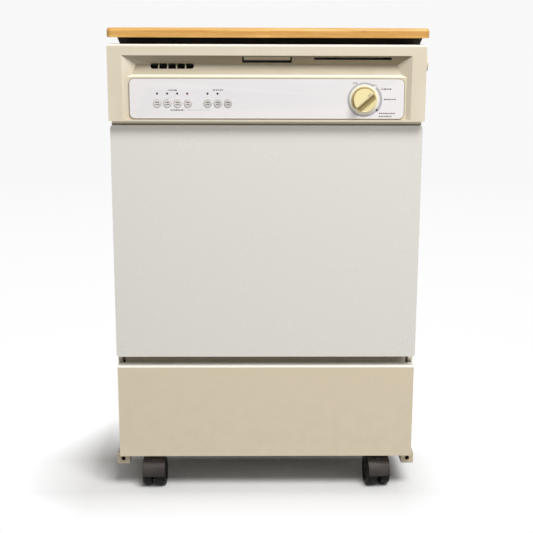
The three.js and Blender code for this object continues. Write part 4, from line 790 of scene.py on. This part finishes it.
def buildCastors(look):
    profile = castorProfile(look)
    for word in corners:
        node = "castor_wheel_" + word
        joint = next(j for j in frame["joints"] if j["child"] == node)
        axle = Vector(joint["axis"]).normalized()
        bm = turned(profile, 72)
        turn = Vector((0, 0, 1)).rotation_difference(axle).to_matrix().to_4x4()
        bm.transform(Matrix.Translation(joint["pos_m"]) @ turn)
        show("wheel_" + word, bm, node, "castorPlastic", "castor_plastic", [node], 40)
        softened("castor_hood_" + word, "hoodPlastic", "castor_plastic", 1.2)


buildCastors(castorLook)
print("castors dressed")


doorLook = {
    "topFrom": 895.5, "topRise": 2.2, "lipFrom": (-315.46, 846.5), "lipDepth": 4.5, "lipTaper": 1.235,
    "slotEnds": (80, 240), "slotLevels": (874.95, 878.45), "slotFront": -306.5, "slotGrow": 0.7,
    "highlightFrom": 900.0, "shadeTo": 754.4,
    "rimCorner": 10.0, "rimRadius": 1.0, "rimOut": 0.3, "rimSink": 0.9,
    "paddleEnds": 40, "paddleFront": -300, "paddleRise": 2.5, "paddleNarrow": 1.1,
}
# y and z spans of the parts of the console's recess
recessSpans = {"ceiling": (-324, -303, 864.5, 881.5), "slope": (-313, -303, 847, 867),
               "lip": (-319, -306, 841.5, 848)}
# x and z spans just around the openings cut through the recess, whose walls are painted black as shade
# from this y backwards
throughCuts = ((-219.6, -136.7, 856.6, 867.0), (87.9, 233.5, 874.7, 878.7), (-46.8, 46.8, 868.1, 887.3))
cutsFrom = -321.5


def within(first, second, span):
    return span[0] < first < span[1] and span[2] < second < span[3]


def buildConsole(look):
    # the CAD console with a deeper lip under its recess and rounded edges; painted shade in its recess,
    # black painted inside its openings as shade, painted highlights on its lip and top edge and painted
    # shade along its foot
    bm = cleanCopy("console")
    lipY, lipZ = look["lipFrom"]
    slotFrom, slotTo = look["slotEnds"]
    cutAt(bm, lipZ)
    for vert in bm.verts:
        x, y, z = vert.co / mm
        if z > look["topFrom"]:
            vert.co.z += look["topRise"] * mm
        if abs(y - lipY) < 0.8 and abs(z - lipZ) < 0.4:
            vert.co.y += look["lipDepth"] * mm
            vert.co.x *= 1 - look["lipDepth"] * mm * look["lipTaper"] / abs(vert.co.x)
        for level, way in zip(look["slotLevels"], (-1, 1)):
            # the card slot's mouth is opened a little along the slope that it is cut in
            if slotFrom < x < slotTo and abs(z - level) < 0.3 and y < look["slotFront"]:
                vert.co += Vector((0, -way * 20 / 17, way)) * look["slotGrow"] * mm
    bevelEdges(bm, 1.5, 4, 12)
    piece = shell("console_shell", "console", bm,
                  ("almondPlastic", "voidBlack", "recessPaintedShade", "ridgePlastic"), "almond_plastic")
    for face in piece.data.polygons:
        x, y, z = face.center / mm
        normal = face.normal
        # painted shade: the walls inside the openings are black
        if y > cutsFrom and abs(normal.y) < 0.6 and any(within(x, z, cut) for cut in throughCuts):
            face.material_index = 1
        # painted shade on the recess's ceiling and on its slope
        elif within(y, z, recessSpans["ceiling"]) and normal.z < -0.5:
            face.material_index = 2
        elif within(y, z, recessSpans["slope"]) and 0.1 < normal.z < 0.6 and abs(normal.x) < 0.3:
            face.material_index = 2
        # painted highlight on the lip below the recess
        elif within(y, z, recessSpans["lip"]) and normal.z > 0.45:
            face.material_index = 3
    # painted highlight along the console's top edge
    banded(piece, look["highlightFrom"], True, "paleEdge")
    banded(piece, look["shadeTo"], False, "edgeShade")


def buildInsertShadeRim(look):
    # a thin brown ring around the control insert, a painted shadow standing for the shade in the groove
    low, high = (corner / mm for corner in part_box("control_insert"))
    outline = cornerArcs((low.x, low.z), (high.x, high.z), look["rimCorner"],
                         look["rimCorner"] + look["rimOut"], 6)
    run = [(x, high.y - look["rimSink"], z) for x, z in outline] + [True]
    wires("insert_rim", [run], look["rimRadius"], "door", "grooveBrown", "almond_plastic")


def buildPaddle(look):
    # the latch paddle, with a wider dark gap left below it and at its ends
    bm = cleanCopy("latch_handle")
    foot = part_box("latch_handle")[0].z / mm
    for vert in bm.verts:
        x, y, z = vert.co / mm
        if y < look["paddleFront"] and abs(x) > look["paddleEnds"]:
            vert.co.x -= math.copysign(look["paddleNarrow"] * mm, x)
            if z < foot + 2:
                vert.co.z += look["paddleRise"] * mm
    bevelEdges(bm, 0.7, 3)
    # the paddle's darker almond is painted shade, as it sits deep in the recess
    shell("latch_paddle", "latch_handle", bm, "paddlePlastic", "almond_plastic")


def buildDoor():
    softened("door_panel", "whiteSteel", "white_steel", 2.4, 5, shortest=1.0)
    softened("door_liner", "tubPlastic", "tub_plastic", 1.0)
    buildConsole(doorLook)
    softened("control_insert", "insertPlastic", "white_plastic", 0.4, 2)
    buildInsertShadeRim(doorLook)
    buildPaddle(doorLook)
    softened("vent_duct", "voidBlack", "black_plastic", 0.4)
    softened("timer_body", *white, 1.5)
    softened("control_board", *grey, 0.3)
    softened("dispenser", *grey, 1.2)
    softened("detergent_cover", *grey, 0.8)
    softened("rinse_cap", *white, 0.8)
    for word in sides:
        softened("hinge_arm_" + word, "zincPlate", "bright_steel", 0.5)


buildDoor()
print("door dressed")


knobLook = {
    "centre": (183.0, 801.3), "angle": 41.0, "back": -320.8, "skirtRadius": 28.0, "skirtFront": -323.3,
    "plateRadius": 24.0, "plate": 3.7, "gripRadius": 21.0, "front": -340.7, "faceDrop": 8.5, "slices": 32,
    "shaft": (3.0, 286.0, 322.0),
    # across the ridge and length of each stroke at the ridge's upper end
    "strokes": ((-2.6, 8.0), (-0.6, 9.0)), "strokesAlong": 12.5,
}


def faceHeight(across, look):
    # how far the grip's sloping face stands out from the skirt
    full = look["skirtFront"] - look["front"]
    return full - look["faceDrop"] * (max(-across - 0.8, 0) / look["gripRadius"]) ** 1.2


def gripOutline(reach, look):
    # (across, height) over one slice: up its rim, along the face, over the ridge, down to the plate
    full, plate = look["skirtFront"] - look["front"], look["plate"]
    ease, foot = min(1.0, reach / 7), min(1.0, reach / 10)
    start, rim = -reach + 1.4 * ease, faceHeight(-reach, look)
    outline = [(-reach, plate - 0.8), (-reach, rim - 1.4 * ease), (-reach + 0.4 * ease, rim - 0.4 * ease)]
    for i in range(9):
        across = start + (-0.4 - start) * i / 8
        outline.append((across, faceHeight(across, look)))
    return outline + [(0.9 * foot, full - 0.2), (2.2 * foot, full - 1.4), (4.8 * foot, full - 4.8),
                      (7.6 * foot, full * 0.5), (10.4 * foot, plate + 2.2), (13.2 * foot, plate + 0.7),
                      (15.4 * foot, plate - 0.8)]


def knobPoint(along, across, height, look):
    angle = math.radians(look["angle"])
    x = look["centre"][0] + along * math.cos(angle) + across * math.sin(angle)
    z = look["centre"][1] + along * math.sin(angle) - across * math.cos(angle)
    return (x * mm, (look["skirtFront"] - height) * mm, z * mm)


def buildGrip(look):
    # slices across the ridge joined into one blade
    rows = []
    for i in range(look["slices"] + 1):
        turn = math.radians(-86 + 172 * i / look["slices"])
        reach = look["gripRadius"] * math.cos(turn)
        along = look["gripRadius"] * math.sin(turn)
        rows.append([knobPoint(along, *point, look) for point in gripOutline(reach, look)])
    count = len(rows[0])

    def finishAt(k):
        # 1 is the steep side, painted darker than the face as its shade; 2 is the rim and the foot
        if count - 7 < k < count - 4:
            return 1
        return 2 if k < 2 or count - 4 <= k < count - 2 else 0
    return stitched(rows, finishAt)


def buildKnob(look):
    cx, cz = look["centre"]
    at = (cx * mm, 0, cz * mm)
    lean = math.radians(look["angle"])
    front, radius = -look["skirtFront"], look["plateRadius"]
    plate = front + look["plate"]
    # the plate under the grip, with faint turned rings
    rings = [(r, plate + 0.25 * math.cos(r * 1.6)) for r in range(22)]
    dish = turned([(0, plate + 0.25)] + rings[1:] + [
        (22.6, plate + 0.5), (radius - 0.6, plate + 0.2), (radius, plate - 0.7), (radius, front - 0.5),
        (0, front - 0.5)], 96, "Y", at)
    for face in dish.faces:
        middle = face.calc_center_median() / mm
        x, z = middle.x - cx, middle.z - cz
        across = x * math.sin(lean) - z * math.cos(lean)
        face.material_index = 2 if across < 1.5 and math.hypot(x, z) > 19 else 0
    thin, near, far = look["shaft"]
    shaft = turned([(0, far), (thin, far), (thin, near), (0, near)], 24, "Y", at)
    grip = joined([buildGrip(look), dish, shaft])
    show("timer_grip", grip, "timer_knob", ("creamPlastic", "goldPlastic", "paleGold"),
         "cream_plastic", ["timer_knob"], 38)
    back, skirt = -look["back"], look["skirtRadius"]
    ring = turned([(0, back), (skirt, back), (skirt, front - 1.4), (skirt - 0.5, front - 0.5),
                   (skirt - 1.6, front), (radius - 0.5, front + 0.1), (0, front + 0.1)], 96, "Y", at)
    show("timer_skirt", ring, "timer_knob", "skirtPlastic", "cream_plastic", (), 38)
    strokes = []
    for across, length in look["strokes"]:
        bar = slab((-length / 2 * mm, -0.00025, -0.0003), (length / 2 * mm, 0.0002, 0.0003), 0.0001)
        middle = Vector(knobPoint(look["strokesAlong"], across, faceHeight(across, look), look))
        bar.transform(Matrix.Translation(middle) @ Matrix.Rotation(-lean, 4, "Y"))
        strokes.append(bar)
    show("timer_pointer", joined(strokes), "timer_knob", "darkInk", "cream_plastic")


keyLook = {"radius": 7.4, "depth": 8.0, "stemRadius": 3.0, "markRows": ((2.3, 7.4), (-2.1, 8.2)),
           "markHeight": 1.5, "dish": 0.33}


def buildButtons(look):
    for node in frame["nodes"]:
        if "_button_" not in node:
            continue
        low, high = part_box(node)
        centre = (low + high) / 2
        front, back, r, stem = -low.y / mm, -high.y / mm, look["radius"], look["stemRadius"]
        behind = front - look["depth"]
        cap = [(0, front - 0.34), (4.8, front - 0.3), (6.0, front - 0.1), (6.4, front),
               (6.9, front - 0.25), (r, front - 1.0), (r, behind), (stem, behind), (stem, back), (0, back)]
        bm = turned(cap, 40, "Y", (centre.x, 0, centre.z))
        finish = "keyPlastic" if node.startswith("cycle") else "greyKeyPlastic"
        show(node.replace("_button_", "_key_"), bm, node, finish, "white_plastic", [node], 40)
        x, y, z = centre.x / mm, low.y / mm + look["dish"], centre.z / mm
        marks = [mark(x, z + rise, width, look["markHeight"], y) for rise, width in look["markRows"]]
        show(node + "_marks", joined(marks), node, *printed)


def mark(x, z, width, height, face):
    # a thin printed bar on a front face, 0.12 mm thick
    return slab(((x - width / 2) * mm, (face - 0.12) * mm, (z - height / 2) * mm),
                ((x + width / 2) * mm, (face + 0.05) * mm, (z + height / 2) * mm))


buildKnob(knobLook)
buildButtons(keyLook)
print("knob and buttons made")


printLook = {
    "ringCentre": (183.6, 800.6), "barHeight": 2.5, "barLengths": (2.2, 4.6), "barGap": 1.1,
    # inner and outer radius, first and last angle and steps of each printed arc
    "arcs": [(28.6, 32.2, 58, 325, 100), (28.8, 34.0, -42, 46, 50)],
    # middle, height and width of each row of small bars
    "rows": [(-177.0, 817.8, 16.7), (-92.0, 818.4, 19.0), (-168.7, 780.8, 26.0), (224.8, 820.7, 19.0),
             (233.2, 801.5, 25.0), (227.8, 775.3, 32.0), (223.6, 769.8, 24.0)],
    "line": (-151.0, -109.0, 781.0), "lineHeight": 0.6,
    "words": [("OFF", 161.0, 829.8), ("ON", 197.8, 826.0)], "wordSize": 5.2,
}


def arcBand(centre, inner, outer, start, end, steps, face):
    # a flat printed arc, 0.15 mm thick; angles in degrees
    rows = []
    section = ((inner, face + 0.05), (outer, face + 0.05), (outer, face - 0.1), (inner, face - 0.1))
    for i in range(steps + 1):
        a = math.radians(start + (end - start) * i / steps)
        x, z = math.cos(a), math.sin(a)
        rows.append([((centre[0] + r * x) * mm, y * mm, (centre[1] + r * z) * mm) for r, y in section])
    return stitched(rows)


def barRow(middle, z, width, look, face):
    # small printed bars of uneven length in a row
    bars = []
    x, end = middle - width / 2, middle + width / 2
    while x < end - 1.5:
        length = min(random.uniform(*look["barLengths"]), end - x)
        height = look["barHeight"] * random.uniform(0.75, 1.0)
        bars.append(mark(x + length / 2, z, length, height, face))
        x += length + look["barGap"]
    return bars


def buildPrints(look):
    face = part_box("control_insert")[0].y / mm
    ring = joined([arcBand(look["ringCentre"], *arc, face) for arc in look["arcs"]])
    show("dial_ring", ring, "door", "paleInk", "white_plastic")
    bars = []
    for row in look["rows"]:
        bars += barRow(*row, look, face)
    show("panel_bars", joined(bars), "door", *printed)
    start, end, z = look["line"]
    line = mark((start + end) / 2, z, end - start, look["lineHeight"], face)
    show("panel_line", line, "door", "paleInk", "white_plastic")
    for word, x, z in look["words"]:
        curve = bpy.data.curves.new("word" + word, "FONT")
        curve.body, curve.size, curve.extrude = word, look["wordSize"] * mm, 0.00005
        text = placed("switch_word_" + word.lower(), curve)
        text.location = (x * mm, (face - 0.06) * mm, z * mm)
        text.rotation_euler = (math.pi / 2, 0, 0)
        curve.materials.append(finishes["darkInk"])
        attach(text, "door")


lampSpots = {"cycle": (-206.6, 4), "option": (-111.8, 2), "pitch": 18.9, "height": 811.5, "radius": 1.75}


def buildLamps(look):
    face = -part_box("control_insert")[0].y / mm
    for group in ("cycle", "option"):
        start, count = look[group]
        for i in range(count):
            at = ((start + i * look["pitch"]) * mm, 0, look["height"] * mm)
            r = look["radius"]
            lens = turned([(0, face + 0.35), (r * 0.6, face + 0.25), (r, face - 0.1), (r, face - 1.5),
                           (0, face - 1.5)], 20, "Y", at)
            finish = "redLens" if (group, i) == ("cycle", 3) else "lampLens"
            show(f"{group}_lamp_{i + 1}", lens, "door", finish, "grey_plastic")


buildPrints(printLook)
buildLamps(lampSpots)
print("prints and lamps made")


heaterLook = {"radius": 205.0, "level": 306.0, "tube": 4.0, "gap": 14.0, "middle": 10.0,
              "foot": 296.3, "footRadius": 9.0, "legRadius": 6.0}


def buildHeater(look):
    # a bent tube with its two ends turned down through the floor of the tub
    r, z, half = look["radius"], look["level"], look["gap"] / 2
    angles = [math.radians(90 + half + (360 - 2 * half) * i / 90) for i in range(91)]
    run = [(r * math.cos(a), look["middle"] + r * math.sin(a), z) for a in angles]
    wires("heater_tube", [run], look["tube"], "chassis", "heaterSteel", "bright_steel",
          ["heater_element"], 4)
    foot, wide, leg = look["foot"], look["footRadius"], look["legRadius"]
    profile = [(0, foot), (wide, foot), (wide, foot + 1.5), (leg, foot + 3), (leg, z + 2),
               (leg - 1.5, z + 4), (0, z + 4)]
    legs = [turned(profile, 28, "Z", (x * mm, y * mm, 0)) for x, y, _ in (run[0], run[-1])]
    show("heater_legs", joined(legs), "chassis", *steel)


rackLook = {"half": 250.4, "front": -223.4, "back": 223.4, "across": 16, "along": 14, "wire": 1.5,
            "rim": 2.1, "corner": 14.0, "bend": 9.0, "crossing": 2.6}
racks = {
    "lower_rack": {"floor": 368.0, "height": 120.0, "columns": (-187.5, -125.0, -62.5, 0.0), "tine": 66.0},
    "upper_rack": {"floor": 660.0, "height": 122.0, "columns": (-125.0, 0.0, 125.0), "tine": 48.0},
}


def buildRack(node, size, look):
    # coated round wires: rims, U-shaped wires both ways and rows of tines
    low, high = size["floor"] + look["wire"], size["floor"] + size["height"] - look["rim"]
    half, front, back = look["half"], look["front"], look["back"]
    places = [front + (back - front) * i / look["along"] for i in range(1, look["along"])]
    hoops = [[(-half, y, high), (-half, y, low), (half, y, low), (half, y, high)] for y in places]
    above = low + look["crossing"]
    for i in range(1, look["across"]):
        x = -half + 2 * half * i / look["across"]
        hoops.append([(x, front, high), (x, front, above), (x, back, above), (x, back, high)])
    thin = [rounded(hoop, look["bend"], 3) for hoop in hoops]
    for x in size["columns"]:
        thin += [[(x, y, low), (x, y, size["floor"] + size["tine"])] for y in places]
    wires(node + "_wires", thin, look["wire"], node, *coated, [node], 1)
    outline = cornerArcs((-half, front), (half, back), look["corner"], look["corner"], 4)
    rims = [[(x, y, z) for x, y in outline] + [True] for z in (high, low + size["height"] * 0.5)]
    wires(node + "_rims", rims, look["rim"], node, *coated, (), 2)


# spans in metres, profiles as (radius, place) in millimetres
fittingLook = {
    "pin": [(0, -13), (2.4, -13), (2.4, 5.2), (1.8, 5.6), (0, 5.6)],
    "bracket": (0.2482, 0.2518), "bracketHalf": 0.008, "bracketFoot": 0.0055, "bracketTop": 0.3755,
    "runner": (0.2512, 0.256), "runnerHalf": 0.225, "runnerLevels": (0.6904, 0.6952),
    "hub": [(0, 644.4), (15, 644.4), (18, 647), (18, 655), (13, 662), (0, 662)], "hubAt": (0, 0.010, 0),
    "pipe": [(0, 10, 651), (0, 226.4, 651)], "pipeRadius": 6.0,
}


def buildRackFittings(look):
    # axle brackets of the lower rack, and the runners and water pipe of the upper one
    fittings = []
    half = look["bracketHalf"]
    for word in corners:
        low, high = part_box("rack_wheel_" + word)
        centre = (low + high) / 2
        side = math.copysign(1, centre.x)
        pin = turned(look["pin"], 20, "X", centre)
        if side < 0:
            mirror = Matrix.Diagonal((-1, 1, 1, 1))
            pin.transform(Matrix.Translation(centre) @ mirror @ Matrix.Translation(-centre))
        inner, outer = sorted(side * x for x in look["bracket"])
        fittings += [pin, slab((inner, centre.y - half, centre.z - look["bracketFoot"]),
                               (outer, centre.y + half, look["bracketTop"]), 0.0012)]
    show("rack_brackets", joined(fittings), "lower_rack", *coated)
    upper = []
    foot, top = look["runnerLevels"]
    for side in (-1, 1):
        inner, outer = sorted(side * x for x in look["runner"])
        upper.append(slab((inner, -look["runnerHalf"], foot), (outer, look["runnerHalf"], top), 0.001))
    upper.append(turned(look["hub"], 36, "Z", look["hubAt"]))
    show("upper_runners", joined(upper), "upper_rack", *coated)
    wires("upper_pipe", [look["pipe"]], look["pipeRadius"], "upper_rack", *grey, (), 4)


def buildTub():
    softened("tub", "tubPlastic", "tub_plastic", 1.0)
    softened("tub_gasket", "gasketRubber", "gasket_rubber", 0.8)
    softened("sump", *grey, 0.8)
    softened("pump_motor", "darkFrame", "motor_paint", 1.2)
    softened("inlet_valve", *white, 1.0)
    softened("latch_strike", *steel, 0.3)
    softened("float_dome", *white, 0.8)
    buildHeater(heaterLook)
    softened("feed_tube", *grey, 0.8)
    for word in sides:
        softened("slide_rail_" + word, *steel, 0.4)
        spring = frame["nodes"]["door_spring_" + word].data.materials
        spring.clear()
        spring.append(finishes["springSteel"])
    for word in ("upper", "lower"):
        softened(word + "_spray_arm", *grey, 1.5)
        buildRack(word + "_rack", racks[word + "_rack"], rackLook)
    buildRackFittings(fittingLook)
    softened("silverware_basket", *grey, 0.7)
    for word in corners:
        softened("rack_wheel_" + word, *grey, 0.6)


buildTub()
print("tub dressed")
